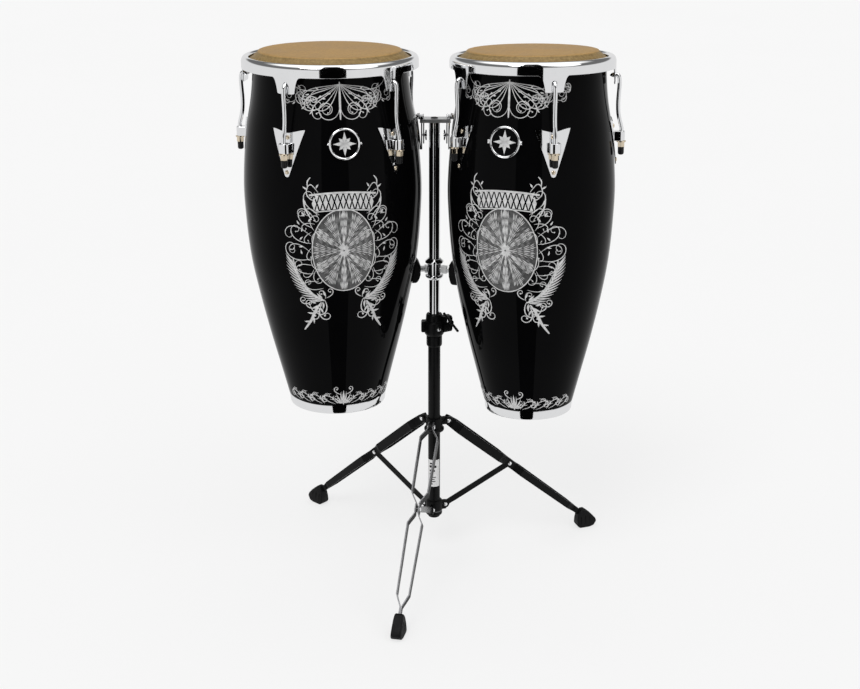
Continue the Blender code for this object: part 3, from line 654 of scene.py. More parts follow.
for name, azimuth in LEG_AZIMUTHS.items():
    a = math.radians(azimuth)
    out = Vector((math.sin(a), -math.cos(a), 0))
    turn = Matrix.Rotation(a - math.pi / 2, 4, "Z")
    top = ON_POLE @ Matrix.Translation((out * LEG_PIVOT_R + Vector((0, 0, LEG_PIVOT_Z))) * MM) @ turn
    low = ON_POLE @ Matrix.Translation((out * BRACE_PIVOT_R + Vector((0, 0, BRACE_PIVOT_Z))) * MM) @ turn
    strips = piece("leg_strips_" + name, merged(leg_strip(1), leg_strip(-1)), [BLACK, EDGE], "leg_" + name,
                   "leg_" + name, matrix=top, bevel=0.35)
    heads = [rod(at_leg(0, -6.6), at_leg(0, 6.6), 3.0)]
    for y in (-1, 1):
        heads.append(dome(at_leg(0, y * 6.4), (0, y, 0), 4.6, 2.4))
        heads.append(dome(at_leg(LEG_TO_BRACE, y * 4.9), (0, y, 0), 4.6, 2.4))
    piece("leg_rivets_" + name, merged(*heads), CHROME, "leg_" + name, matrix=top)
    # the front brace gets the painted-sheen copy of the black, a lit version of the same powder coat; the other braces
    # are plain black
    piece("brace_strip_" + name, brace.copy(), PAINTED_SHEEN_BLACK if name == "front" else BLACK, "brace_" + name, "brace_" + name, matrix=low, bevel=0.4)
    piece("rubber_foot_" + name, foot.copy(), RUBBER, "leg_" + name, "foot_" + name, matrix=top,
          bevel=0.4, angle=40)


# --------------------------------------------------------------------- drums
def station_curve(station):
    rows = [(r[0], r[station]) for r in STATIONS]
    slopes = []
    for i in range(len(rows)):
        if i == 0:
            slopes.append((rows[1][1] - rows[0][1]) / (rows[1][0] - rows[0][0]) * 0.5)
        elif i == len(rows) - 1:
            slopes.append((rows[-1][1] - rows[-2][1]) / (rows[-1][0] - rows[-2][0]))
        else:
            slopes.append((rows[i + 1][1] - rows[i - 1][1]) / (rows[i + 1][0] - rows[i - 1][0]))

    def radius(below):
        if below <= rows[0][0]:
            return rows[0][1]
        for i in range(len(rows) - 1):
            x0, y0 = rows[i]
            x1, y1 = rows[i + 1]
            if below <= x1:
                h = x1 - x0
                t = (below - x0) / h
                return ((1 + 2 * t) * (1 - t) ** 2 * y0 + t * (1 - t) ** 2 * h * slopes[i]
                        + t * t * (3 - 2 * t) * y1 + t * t * (t - 1) * h * slopes[i + 1])
        return rows[-1][1] + (below - rows[-1][0]) * slopes[-1]
    return radius


class Artwork:
    """Flat ribbons and leaves drawn in (across, up) millimetres and laid on the shell."""

    def __init__(self, wall, azimuth):
        self.wall, self.azimuth = wall, math.radians(azimuth)
        self.shapes = []

    def ribbon(self, points, widths, layer=0):
        self.shapes.append((layer, points, widths))

    def both(self, points, widths, layer=0):
        self.ribbon(points, widths, layer)
        self.ribbon([(-u, v) for u, v in points], widths, layer)

    def curl(self, at, heading, length, hand, k0=0.008, k1=0.42, width=2.4, both=True, layer=0, power=2.2):
        n = max(14, int(length / 2.0))
        step = length / n
        angle = math.radians(heading)
        x, y = at
        pts, widths = [(x, y)], [width * 0.35]
        for i in range(1, n + 1):
            t = i / n
            angle += hand * (k0 + (k1 - k0) * t ** power) * step
            x += math.cos(angle) * step
            y += math.sin(angle) * step
            pts.append((x, y))
            widths.append(width * (0.35 + 0.65 * math.sin(math.pi * min(1, t * 1.15)) ** 0.8 if t < 0.85 else 0.62))
        bud = [(x + math.cos(a) * width * 0.85, y + math.sin(a) * width * 0.85) for a in
               [angle + math.pi + k * math.pi / 4 for k in range(5)]]
        (self.both if both else self.ribbon)(pts, widths, layer)
        disc = [(x - width * 0.9, y), (x - width * 0.55, y), (x, y), (x + width * 0.55, y), (x + width * 0.9, y)]
        (self.both if both else self.ribbon)(disc, [0.2, width * 1.4, width * 1.8, width * 1.4, 0.2], layer)
        return pts

    def leaf(self, at, heading, length, width, bend=0.0, both=True, layer=0, n=9):
        angle = math.radians(heading)
        x, y = at
        pts, widths = [(x, y)], [0.15]
        for i in range(1, n + 1):
            angle += bend / n
            x += math.cos(angle) * length / n
            y += math.sin(angle) * length / n
            pts.append((x, y))
            widths.append(max(0.15, width * math.sin(math.pi * (i / n) ** 0.75)))
        (self.both if both else self.ribbon)(pts, widths, layer)

    def ring(self, centre, a, b, width, layer=0, n=96):
        pts = [(centre[0] + a * math.cos(2 * math.pi * i / n), centre[1] + b * math.sin(2 * math.pi * i / n))
               for i in range(n + 1)]
        self.ribbon(pts, [width] * (n + 1), layer)

    def spray(self, at, heading, length, leaves, leaf_length, leaf_width, hand=1, layer=0, both=True):
        """A stem with pairs of leaves along it."""
        angle = math.radians(heading)
        x, y = at
        pts, widths = [(x, y)], [1.2]
        for i in range(1, leaves + 1):
            t = i / leaves
            angle += hand * 0.9 / leaves
            x += math.cos(angle) * length / leaves
            y += math.sin(angle) * length / leaves
            pts.append((x, y))
            widths.append(1.6 - 1.0 * t)
            size = leaf_length * (0.55 + 0.45 * math.sin(math.pi * t))
            for side in (-1, 1):
                self.leaf((x, y), math.degrees(angle) + side * (48 - 16 * t), size, leaf_width, -side * 0.5, both, layer, 6)
        (self.both if both else self.ribbon)(pts, widths, layer)

    def place(self, u, v, lift):
        r = self.wall(-v) + lift
        a = self.azimuth + u / self.wall(-v)
        return Vector((r * math.sin(a), -r * math.cos(a), v)) * MM

    def mesh(self, layer, lift, thick=0.14):
        bm = bmesh.new()
        for which, points, widths in self.shapes:
            if which != layer:
                continue
            n = len(points)
            rows = []
            for i in range(n):
                a, b = points[max(i - 1, 0)], points[min(i + 1, n - 1)]
                dx, dy = b[0] - a[0], b[1] - a[1]
                size = math.hypot(dx, dy) or 1
                nx, ny = -dy / size, dx / size
                u, v = points[i]
                w = widths[i] / 2
                rows.append([(u + nx * w, v + ny * w), (u - nx * w, v - ny * w)])
            area = sum((rows[i][0][0] - rows[i][1][0]) * (rows[min(i + 1, n - 1)][0][1] - rows[i][0][1])
                       - (rows[i][0][1] - rows[i][1][1]) * (rows[min(i + 1, n - 1)][0][0] - rows[i][0][0]) for i in range(n))
            lows = [[bm.verts.new(self.place(*p, lift)) for p in row] for row in rows]
            tops = [[bm.verts.new(self.place(*p, lift + thick)) for p in row] for row in rows]
            for i in range(n - 1):
                bm.faces.new((tops[i][0], tops[i][1], tops[i + 1][1], tops[i + 1][0]))
                bm.faces.new((lows[i][0], lows[i + 1][0], lows[i + 1][1], lows[i][1]))
                bm.faces.new((lows[i][1], lows[i + 1][1], tops[i + 1][1], tops[i][1]))
                bm.faces.new((lows[i][0], tops[i][0], tops[i + 1][0], lows[i + 1][0]))
            bm.faces.new((lows[0][0], lows[0][1], tops[0][1], tops[0][0]))
            bm.faces.new((lows[-1][1], lows[-1][0], tops[-1][0], tops[-1][1]))
        return from_bmesh(bm)

    def disc(self, centre, a, b, lift, thick=0.14, rings=10, n=72):
        bm = bmesh.new()
        layers = []
        for z in (lift, lift + thick):
            rows = [[bm.verts.new(self.place(*centre, z))]]
            for k in range(1, rings + 1):
                rows.append([bm.verts.new(self.place(centre[0] + a * k / rings * math.cos(2 * math.pi * i / n),
                                                     centre[1] + b * k / rings * math.sin(2 * math.pi * i / n), z))
                             for i in range(n)])
            for k in range(rings):
                for i in range(n):
                    j = (i + 1) % n
                    if k == 0:
                        bm.faces.new((rows[0][0], rows[1][i], rows[1][j]))
                    else:
                        bm.faces.new((rows[k][i], rows[k + 1][i], rows[k + 1][j], rows[k][j]))
            layers.append(rows[-1])
        for i in range(n):
            j = (i + 1) % n
            bm.faces.new((layers[0][i], layers[0][j], layers[1][j], layers[1][i]))
        return from_bmesh(bm)


def stroke(art, points, width, layer=0, mirror=True, tip=0.3):
    """A smooth line through points, thin at both ends."""
    pts = [(p.x, p.y) for p in catmull([Vector((u, v, 0)) for u, v in points], 7)]
    n = len(pts) - 1
    widths = [width * (tip + (1 - tip) * math.sin(math.pi * (0.04 + 0.92 * i / n)) ** 0.6) for i in range(n + 1)]
    (art.both if mirror else art.ribbon)(pts, widths, layer)


def draw(art, k):
    """Generic scrollwork: a fan under the rim, a medallion in a scroll frame, a band at the foot."""
    # fan under the rim: strokes spring from its top centre
    y = -44
    stroke(art, [(0, y + 4), (0, y - 20), (0, y - 44), (0, y - 64)], 4.0, mirror=False, tip=0.1)
    for heading, length, hand, k0, k1, w in (
            (-74, 98, 1, 0.004, 0.24, 1.5), (-62, 132, 1, 0.006, 0.17, 1.5), (-50, 112, -1, -0.010, 0.24, 1.6),
            (-40, 136, 1, 0.004, 0.22, 1.5), (-29, 118, -1, -0.008, 0.26, 1.6), (-19, 160, 1, 0.003, 0.20, 1.5),
            (-11, 124, -1, -0.003, 0.28, 1.4)):
        art.curl((1.0, y), heading, length, hand, k0, k1, w, power=3.0)
    for u, v, heading, length, hand, k0, k1, w in (
            (1.5, -84, -98, 158, 1, 0.044, 0.16, 1.5), (30, -76, -80, 112, 1, 0.052, 0.20, 1.4), (54, -72, -60, 96, 1, 0.050, 0.24, 1.4),
            (80, -68, -70, 84, 1, 0.060, 0.26, 1.3), (36, -54, -4, 60, -1, 0.030, 0.30, 1.3), (62, -56, -16, 56, -1, 0.030, 0.34, 1.3),
            (94, -62, -30, 58, 1, 0.050, 0.34, 1.3), (96, -58, 50, 40, -1, 0.050, 0.40, 1.3), 
            (104, -66, -60, 30, -1, 0.050, 0.40, 1.2)):
        art.curl((u, v), heading, length, hand, k0, k1, w, power=1.7)
    for u, v, h in ((16, -60, -30), (26, -70, -10), (34, -64, -60), (56, -62, -30), (38, -54, 20), (72, -52, 30), (52, -92, -70),
                    (66, -84, -60), (84, -76, -60)):
        art.leaf((u, v), h, 8, 2.6, 0.6)
    # the medallion: a rosette of fine strokes inside a thin oval ring
    mv, a, b = -352, 60 * k, 81 * k
    art.ring((0, mv), a, b, 1.9)
    seed = 1
    for ring_n, (count, r0, r1, w, layer) in enumerate((
            (150, 0.80, 0.975, 1.7, 0), (150, 0.70, 0.90, 1.6, 1), (120, 0.60, 0.80, 1.7, 0), (110, 0.50, 0.70, 1.7, 1),
            (90, 0.41, 0.61, 1.8, 0), (70, 0.32, 0.51, 2.0, 1), (56, 0.23, 0.42, 2.0, 0), (40, 0.15, 0.33, 2.2, 1),
            (24, 0.07, 0.23, 2.4, 0))):
        for i in range(count):
            seed = (seed * 16807) % 2147483647
            jitter = seed / 2147483647
            petals = math.cos(12 * 2 * math.pi * i / count)
            if ring_n % 2 == 0 and petals < -0.55 and ring_n < 7:
                continue
            t = 2 * math.pi * (i + 0.5 * (ring_n % 2) + 0.35 * (jitter - 0.5)) / count
            lo_r, hi_r = r0 - 0.03 * jitter, r1 - 0.10 * (1 - jitter) + 0.02 * petals
            pts, widths = [], []
            for j in range(5):
                q = j / 4
                r = lo_r + (hi_r - lo_r) * q
                twist = t + 0.05 * math.sin(6 * t) * q
                pts.append((a * r * math.cos(twist), mv + b * r * math.sin(twist)))
                widths.append(max(0.15, w * k * (0.55 + 0.6 * jitter) * math.sin(math.pi * (0.06 + 0.88 * q))))
            art.ribbon(pts, widths, layer)
    for i in range(12):
        t = 2 * math.pi * i / 12
        pts = [(a * r * math.cos(t), mv + b * r * math.sin(t)) for r in (0.02, 0.07, 0.12, 0.17)]
        art.ribbon(pts, [0.3, 3.6, 3.4, 0.3], 0)
    # a textless banner over the medallion: lozenges between two rails
    top, width = mv + 95 * k, 60 * k

    def sag(u, d):
        return (u, top + d - 5 * (u / width) ** 2)
    art.ribbon([sag(u, 17) for u in [width * (i / 16 - 1) * 1.06 for i in range(33)]], [3.4] * 33)
    art.ribbon([sag(u, -16) for u in [width * (i / 16 - 1) * 0.92 for i in range(33)]], [2.0] * 33)
    for i in range(-5, 6):
        u = i * 10.9 * k
        h = 12.6
        art.ribbon([sag(u, -h), sag(u, -h * 0.45), sag(u, 0), sag(u, h * 0.45), sag(u, h)], [0.4, 4.2, 8.4, 4.2, 0.4])
    for i in range(-5, 5):
        u = (i + 0.5) * 10.9 * k
        art.ribbon([sag(u, 3.5), sag(u, 9), sag(u, 15)], [0.3, 3.4, 7.6])
        art.ribbon([sag(u, -14), sag(u, -9), sag(u, -3.5)], [6.4, 3.0, 0.3])
    # loops at its ends and over it
    stroke(art, [(46, mv + 112), (58, mv + 126), (66, mv + 122), (68, mv + 108), (58, mv + 98), (50, mv + 104), (54, mv + 112)], 1.9)
    stroke(art, [(66, mv + 122), (66, mv + 132), (60, mv + 140)], 2.2)
    art.leaf((68, mv + 118), 20, 9, 3, 0.4)
    art.leaf((50, mv + 120), 110, 9, 3, 0.4)
    # scrolls up both sides: a stem beside the ring with spirals outward
    for u, v, heading, length, hand, k0, k1, w in (
            (52, 70, 30, 78, 1, 0.004, 0.30, 1.9), (60, 58, 60, 60, -1, 0.006, 0.34, 1.8), (66, 44, 20, 62, 1, 0.004, 0.34, 1.8),
            (70, 28, 40, 84, -1, 0.006, 0.24, 1.9), (71, 14, 0, 78, 1, 0.010, 0.26, 1.9), (72, -4, 40, 70, -1, 0.006, 0.30, 1.8),
            (71, -16, -20, 96, 1, 0.012, 0.22, 2.0), (68, -30, 10, 58, -1, 0.006, 0.36, 1.8), (64, -46, -10, 70, 1, 0.010, 0.30, 1.9),
            (56, -62, 0, 54, -1, 0.004, 0.36, 1.8), (46, -76, -20, 60, 1, 0.012, 0.34, 1.8), (62, 52, 10, 40, -1, 0.008, 0.4, 1.6),
            (70, 36, -30, 36, -1, 0.008, 0.44, 1.6), (72, 4, -50, 34, -1, 0.008, 0.44, 1.6), (66, -38, -70, 36, 1, 0.01, 0.42, 1.6)):
        art.curl((u * 0.87, mv + v), heading, length * 1.12, hand, k0, k1 * 0.78, w * 0.82, power=2.2)
    stroke(art, [(60, mv + 60), (72, mv + 82), (75, mv + 100)], 2.8, tip=0.1)
    for u, v, heading, length, hand, k0, k1, w in (
            (58, 8, 70, 66, 1, 0.02, 0.20, 1.4), (60, -8, -70, 66, -1, 0.02, 0.20, 1.4), (56, 40, 50, 58, 1, 0.02, 0.24, 1.4),
            (54, -40, -60, 54, -1, 0.02, 0.26, 1.4), (48, 66, 70, 52, -1, 0.02, 0.24, 1.4)):
        art.curl((u, mv + v), heading, length, hand, k0, k1, w, power=1.6)
    for u, v, h in ((74, 66, 60), (84, 50, 40), (80, 36, 90), (84, 20, 120), (78, 8, -30), (80, -8, 60), (70, 88, 60), (66, 56, 110)):
        art.leaf((u, mv + v), h, 9, 3.0, 0.5)
    # a palm frond at each side, long leaves on its outer edge
    stem = [(p.x, p.y) for p in catmull([Vector((u, v, 0)) for u, v in (
        (38, mv - 102), (58, mv - 92), (76, mv - 74), (92, mv - 48), (100, mv - 26))], 8)]
    art.both(stem, [2.4 - 1.4 * i / (len(stem) - 1) for i in range(len(stem))])
    for i in range(1, len(stem) - 1):
        x0, y0 = stem[i - 1]
        x1, y1 = stem[i + 1]
        along = math.degrees(math.atan2(y1 - y0, x1 - x0))
        t = i / (len(stem) - 1)
        size = 32 * (0.5 + 0.5 * math.sin(math.pi * (0.12 + 0.74 * t)))
        if i % 2:
            art.leaf(stem[i], along - 40 + 10 * t, size, 2.5, 0.25)
            art.leaf(stem[i], along + 26, size * 0.5, 1.8, -0.3)
        else:
            art.leaf(stem[i], along - 48 + 12 * t, size * 0.66, 2.4, 0.25, layer=1)
            art.leaf(stem[i], along - 14, size * 0.44, 1.7, 0.2)
    # curls under the frond, ending in a long pointed leaf
    for u, v, heading, length, hand, k0, k1, w in (
            (38, -100, -120, 66, 1, 0.02, 0.22, 2.2), (40, -104, -60, 76, -1, 0.01, 0.22, 2.2), (44, -112, -40, 62, 1, 0.02, 0.26, 2.0),
            (60, -100, -60, 56, 1, 0.03, 0.30, 2.0), (66, -112, -100, 40, -1, 0.02, 0.34, 1.8), (36, -98, 100, 34, -1, 0.02, 0.36, 1.8),
            (34, -96, 160, 40, -1, 0.02, 0.36, 1.8), (50, -124, -110, 36, 1, 0.02, 0.34, 1.8)):
        art.curl((u, mv + v), heading, length, hand, k0, k1, w, power=1.8)
    stroke(art, [(44, mv - 106), (56, mv - 126), (64, mv - 146), (78, mv - 168)], 5.4, tip=0.08)
    for u, v, h, l in ((48, -112, -40, 16), (52, -120, -80, 16), (58, -130, -10, 14), (60, -138, -110, 15), (66, -148, -20, 12),
                       (40, -106, -100, 15), (46, -118, -130, 13), (54, -108, 10, 13), (36, -92, 60, 12), (42, -96, 30, 14)):
        art.leaf((u, mv + v), h, l, 3.8, 0.4)
    # band at the foot
    fv = -672
    art.leaf((0, fv - 18), 90, 34, 5.6, 0, both=False)
    for h, l in ((66, 28), (44, 27), (24, 24), (4, 20)):
        art.leaf((1.0, fv - 14), h, l, 2.8, 0.5)
    art.curl((4, fv + 6), 20, 36, 1, 0.01, 0.42, 2.0)
    for i in range(4):
        u = 12 + i * 26
        art.curl((u, fv - 15), 66, 62, -1, 0.02, 0.24, 1.6)
        art.curl((u + 4, fv - 15), 14, 50, 1, 0.01, 0.28, 1.5)
        art.curl((u + 13, fv + 9), -12, 40, -1, 0.02, 0.32, 1.5)
        art.curl((u + 15, fv - 4), 200, 26, -1, 0.02, 0.40, 1.3)
        art.leaf((u + 9, fv - 6), 84, 10, 2.8, 0.4)
        art.leaf((u + 20, fv - 8), 40, 10, 2.8, -0.4)


for name, drum in DRUMS.items():
    w, s = drum["wide"], drum["station"]
    body = "drum_" + name
    leans = [math.radians(v) for v in drum["lean"]]
    axis = Vector((math.tan(leans[0]), math.tan(leans[1]), 1)).normalized()
    tilt_m = Vector((0, 0, 1)).rotation_difference(axis).to_matrix().to_4x4()
    in_pole = Matrix.Translation(Vector(drum["top"]) * MM) @ tilt_m
    at_drum = ON_POLE @ in_pole
    wall = station_curve(s)
    foot_r = STATIONS[-1][s]
    bottom = -709.0

    # shell: lacquer outside, bare staves inside
    outside = [(123 + w, -2.7), (127 + w * 1.04, -5.2), (130.5 + w, -8.6), (134.5 + w * 0.98, -12.6), (137.6 + w * 0.9, -18),
               (138.9 + w * 0.82, -26)]
    z = 38.0
    while z < 691:
        outside.append((wall(z), -z))
        z += 11.5
    outside += [(wall(691.5), -691.5), (foot_r - 4.5, -692.3), (foot_r - 5.5, bottom)]
    inside = [(foot_r - 13, bottom)]
    z = 690.0
    while z > 60:
        inside.append((wall(z) - 10.5, -z))
        z -= 28
    inside += [(wall(38) - 16, -34), (119 + w, -3.2)]
    shell = lathe(outside + inside, 160, close=True)
    for face in shell.polygons:
        c = face.center
        r = math.hypot(c.x, c.y) / MM
        face.material_index = 1 if r < wall(max(38, -c.z / MM)) - 5 and c.z < -0.02 else 0
    piece("stave_shell_" + name, shell, [LACQUER, WOOD], body, "shell_" + name, matrix=at_drum, angle=50)

    # head
    head = [(0, 1.3), (30 + w, 1.3), (70 + w, 1.25), (100 + w, 1.15), (116 + w, 1.0), (121.4 + w, 0.7), (123.6 + w, 0.1), (125.2 + w, -1.5),
            (127.2 + w, -4.4), (132 + w, -8.6), (139 + w, -13.0), (144.5 + w, -16.9), (148 + w, -19.8), (150.2 + w, -22.2),
            (151.2 + w, -25), (151.2 + w, -29.6), (150 + w, -30.6), (142.6 + w, -30.6), (141.6 + w, -29.4), (141.4 + w, -24), (138.6 + w, -16),
            (131.5 + w, -7.0), (124 + w, -2.2), (0, -2.2)]
    bm = bmesh.new()
    bm.from_mesh(lathe(head, 192))
    for v in bm.verts:
        r = math.hypot(v.co.x, v.co.y) / MM
        if v.co.z > -0.024 and 118 < r - w < 150:
            d = noise.noise(v.co * 60) * 0.0004 + noise.noise(v.co * 230) * 0.00012
            v.co += Vector((v.co.x, v.co.y, 0)).normalized() * d
    piece("rawhide_head_" + name, from_bmesh(bm), RAWHIDE, body, "head_" + name, matrix=at_drum, sharp=False)

    # rim: the top curves in over the skin, and tabs flare from the band
    lugs = [drum["lug0"] + 72 * k for k in range(5)]
    around = {round(1.5 * i, 3) for i in range(240)}
    for lug in lugs:
        around |= {round((lug + math.degrees(d * 0.8 / (157 + w))) % 360, 3) for d in range(-42, 43)}
    around = sorted(around)
    around = [v for i, v in enumerate(around) if i == 0 or v - around[i - 1] > 0.08]
    bm = bmesh.new()
    rows = []
    for phi in around:
        drop = 0.0
        for lug in lugs:
            away = abs((phi - lug + 180) % 360 - 180) * math.pi / 180 * (157 + w)
            if away < 17.5:
                drop = 30.3 - 1.4 * (away / 17.5) ** 7
            elif away < 33:
                drop = max(drop, 28.9 * (1 - (away - 17.5) / 15.5) ** 3.6)
        low = -31.7 - drop
        profile = [(142.4, -12.6), (142.3, -11.6), (143.0, -10.2), (144.4, -9.1), (146.0, -8.4), (147.8, -8.1), (149.8, -8.3),
                   (151.8, -9.1), (153.6, -10.5), (155.2, -12.6), (156.3, -15.2), (156.9, -18.0), (157.0, -20.5)]
        profile += [(157.0, -20.5 + (low + 20.5) * q / 10) for q in range(1, 10)]
        profile += [(156.9, low + 0.6), (156.2, low), (155.4, low), (154.7, low + 0.6)]
        profile += [(154.6, low + (-18.8 - low) * q / 6) for q in range(1, 7)]
        profile += [(153.9, -16.0), (152.6, -13.6), (150.6, -11.8), (148.4, -10.9), (146.6, -10.8), (145.0, -11.6), (143.9, -13.0)]
        a = math.radians(phi)
        rows.append([bm.verts.new(((r + w) * MM * math.sin(a), -(r + w) * MM * math.cos(a), z * MM)) for r, z in profile])
    m, n = len(rows[0]), len(rows)
    for i in range(n):
        for k in range(m):
            bm.faces.new((rows[i][k], rows[(i + 1) % n][k], rows[(i + 1) % n][(k + 1) % m], rows[i][(k + 1) % m]))
    slots = []
    for lug in lugs:
        hole = slab([(x, z) for x, z in arc(0, -45.3, 5.0, 0, 360, 24)[:-1]], 9)
        slots.append(moved(hole, turn_z(lug) @ Matrix.Translation(Vector((0, -(156 + w), 0)) * MM)))
    rim = joined(from_bmesh(bm), ("DIFFERENCE", merged(*slots)))
    piece("chrome_rim_" + name, rim, CHROME, body, "rim_" + name, matrix=at_drum, bevel=0.0, angle=40)

    ring = [(foot_r - 1.4, -692.4), (foot_r - 0.8, -693.2), (foot_r - 0.7, -696), (foot_r - 1.5, -705), (foot_r - 1.9, -709), (foot_r - 2.6, -710.6),
            (foot_r - 3.8, -711), (foot_r - 12.2, -711), (foot_r - 13, -710.4), (foot_r - 12.6, -709.4), (foot_r - 5.1, -709.4), (foot_r - 4.2, -693)]
    piece("foot_ring_" + name, lathe(ring, 160, close=True), CHROME, body, "bottom_ring_" + name, matrix=at_drum, angle=50)

    # hooks, side plates, nuts
    at = ROD_AT + w
    path = catmull([Vector((0, -(r + w), z)) for r, z in (
        (148.6, -48.8), (149.8, -46.8), (152.6, -45.4), (156.8, -45.0), (160.4, -46.4), (162.8, -50.0), (163.9, -56),
        (164.0, -66), (163.2, -80), (162.5, -98), (163.4, -116), (166.2, -130), (169.2, -141), (170.3, -148), (170.3, -158), (170.3, -190))], 6)
    radii = [ROD_R] * len(path)
    radii[0], radii[1] = 2.4, 3.5
    hook = sweep(path, ROD_R, 24, radii=radii)

    def half_width(t):
        lin = 33.5 - 28.5 * (t / 0.95)
        return max(0.6, lin if t < 0.95 else 5.0 * math.sqrt(max(0.0, 1 - ((t - 0.95) / 0.05) ** 2)))
    bm = bmesh.new()
    grid = []
    cols, rws = 22, 30
    for j in range(rws + 1):
        t = (j / rws)
        t = t if t < 0.9 else 0.9 + 0.1 * math.sin((t - 0.9) / 0.1 * math.pi / 2)
        row = []
        for i in range(cols + 1):
            u = 2 * i / cols - 1
            top = -133.6 + 8.2 * abs(u) ** 1.1 - 1.6 * abs(u) ** 8
            z = top + (-214 - top) * t
            arc_u = u * half_width(t)
            r = wall(-z) + 0.8
            row.append(bm.verts.new((r * MM * math.sin(arc_u / r), -r * MM * math.cos(arc_u / r), z * MM)))
        grid.append(row)
    for j in range(rws):
        for i in range(cols):
            bm.faces.new((grid[j + 1][i], grid[j + 1][i + 1], grid[j][i + 1], grid[j][i]))
    obj = temp(from_bmesh(bm, recalc=False))
    mod = obj.modifiers.new("solid", "SOLIDIFY")
    mod.thickness, mod.offset = 1.9 * MM, 1
    plate = evaluated(obj)
    r_in = wall(SLEEVE_BOTTOM) + 1.4
    sleeve = slab([(10.5, -r_in + 0.0), (10.5, -(at - 1)), *[(10.5 * math.cos(math.radians(a)), -(at - 1) - 7.6 * math.sin(math.radians(a))) for a in range(8, 173, 8)],
                   (-10.5, -(at - 1)), (-10.5, -r_in)], 9.0)
    # the slab is thick along y: stand it up along z
    sleeve.transform(Matrix.Translation(Vector((0, 0, -(SLEEVE_TOP + SLEEVE_BOTTOM) / 2)) * MM)
                     @ Matrix(((1, 0, 0, 0), (0, 0, 1, 0), (0, -1, 0, 0), (0, 0, 0, 1))))
    sleeve = joined(sleeve, ("DIFFERENCE", rod((0, -at, -SLEEVE_BOTTOM - 5), (0, -at, -SLEEVE_TOP + 5), ROD_R + 0.6, 32)))
    screws = []
    for below in (141, 205):
        r = wall(below) + 2.6
        slope = (wall(below + 2) - wall(below - 2)) / 4
        screws.append(dome((0, -r, -below), (0, -1, -slope * -1), 4.2, 2.4))
    hexnut = lathe([(4.4, 0), (8.6, 0), (9, -0.5), (9, -2.3), (8.5, -2.8), (4.4, -2.8)], 40, close=True)
    flats = joined(rod((0, 0, -2.8), (0, 0, -11.8), 7.2, 6), ("DIFFERENCE", rod((0, 0, 1), (0, 0, -14), 4.4, 24)))
    cap = lathe([(0, -11.9), (5.2, -11.9), (5.7, -12.3), (5.85, -13.2), (5.85, -23.2), (5.5, -24.9), (4.5, -26.2), (2.5, -27), (0, -27.1)], 32)
    for k, azimuth in enumerate(lugs, 1):
        here = at_drum @ turn_z(azimuth)
        piece(f"j_hook_{name}_{k}", hook.copy(), CHROME, body, f"tension_hook_{name}_{k}", matrix=here)
        piece(f"lug_plate_{name}_{k}", plate.copy(), CHROME, body, f"side_plate_{name}_{k}", matrix=here, bevel=0.45, segments=2)
        piece(f"lug_sleeve_{name}_{k}", sleeve.copy(), CHROME, body, matrix=here, bevel=0.9, segments=3)
        piece(f"lug_screws_{name}_{k}", merged(*[m_.copy() for m_ in screws]), NICKEL, body, matrix=here)
        spot = here @ Matrix.Translation(Vector((0, -at, -SLEEVE_BOTTOM - 0.3)) * MM)
        piece(f"hex_nut_{name}_{k}", merged((hexnut, 0), (flats, 0), (cap, 1)), [NICKEL, PLASTIC], f"tuning_nut_{name}_{k}",
              f"tuning_nut_{name}_{k}", matrix=spot, bevel=0.3)

    # artwork and badge
    art = Artwork(wall, drum["art"])
    k = 1.0
    draw(art, k)
    for layer, lift, mat, tag in ((0, 0.42, INK, "silver"), (1, 0.24, INK_MID, "grey")):
        piece(f"scrollwork_{tag}_{name}", art.mesh(layer, lift), mat, body, matrix=at_drum, angle=60)
    piece(f"medallion_ground_{name}", art.disc((0, -352), 59.6 * k, 80.6 * k, 0.06), INK_DARK, body, matrix=at_drum, angle=60)
    bz = -151.0
    badge_frame = at_drum @ turn_z(drum["art"] + (1.9 if name == "left" else -1.3)) @ Matrix.Translation(Vector((0, -(wall(-bz) + 0.9), bz)) * MM) @ \
        Matrix.Rotation(math.pi / 2 + math.atan((wall(-bz + 10) - wall(-bz - 10)) / 20) * -1, 4, "X")
    ringb = lathe([(25.0, 1.2), (25.6, 2.2), (27.2, 2.9), (28.8, 2.3), (29.6, 1.0), (29.6, -0.4), (25.0, -0.4)], 96, close=True)
    inner = merged(*[moved(slab([(-3.2, -0.4), (3.2, -0.4), (3.0, 1.6), (-3.0, 1.6)], 3.4, taper=None), Matrix.Translation((x * MM, 0, 0))) for x in (-29.9, 29.9)])
    field = lathe([(0, 1.3), (24, 1.3), (25.4, 1.3), (25.4, -0.4), (0, -0.4)], 96)
    star = []
    for i in range(8):
        t = math.pi * i / 4
        petal = slab([(0, 0), (4.2, 7.0), (0, 22 if i % 2 == 0 else 15), (-4.2, 7.0)], 0.35)
        petal.transform(Matrix.Rotation(math.pi / 2, 4, "X"))
        petal.transform(Matrix.Translation((0, 0, 1.6 * MM)) @ Matrix.Rotation(t, 4, "Z"))
        star.append(petal)
    pins = [dome((x, 0, 1.6), (0, 0, 1), 2.0, 1.3) for x in (-30.6, 30.6)]
    piece(f"badge_{name}", merged((field, 1), (ringb, 0), (inner, 0), *[(m_, 2) for m_ in star], *[(m_, 0) for m_ in pins]),
          [CHROME, LACQUER, INK], body, matrix=badge_frame, angle=40)

    # mount plate: the CAD shape with softened edges
    side, x = drum["side"], drum["tongue"]

    def clear(extra, low=80, high=260):
        rows = [(0, -low), (wall(low) + extra, -low)]
        z = low + 8
        while z < high - 1:
            rows.append((wall(z) + extra, -z))
            z += 8
        return lathe(rows + [(wall(high) + extra, -high), (0, -high)], 96)

    def ordered(x0, x1, y, z0, z1):
        a, b = sorted((side * x0, side * x1))
        return box((a, -y, z0), (b, y, z1))

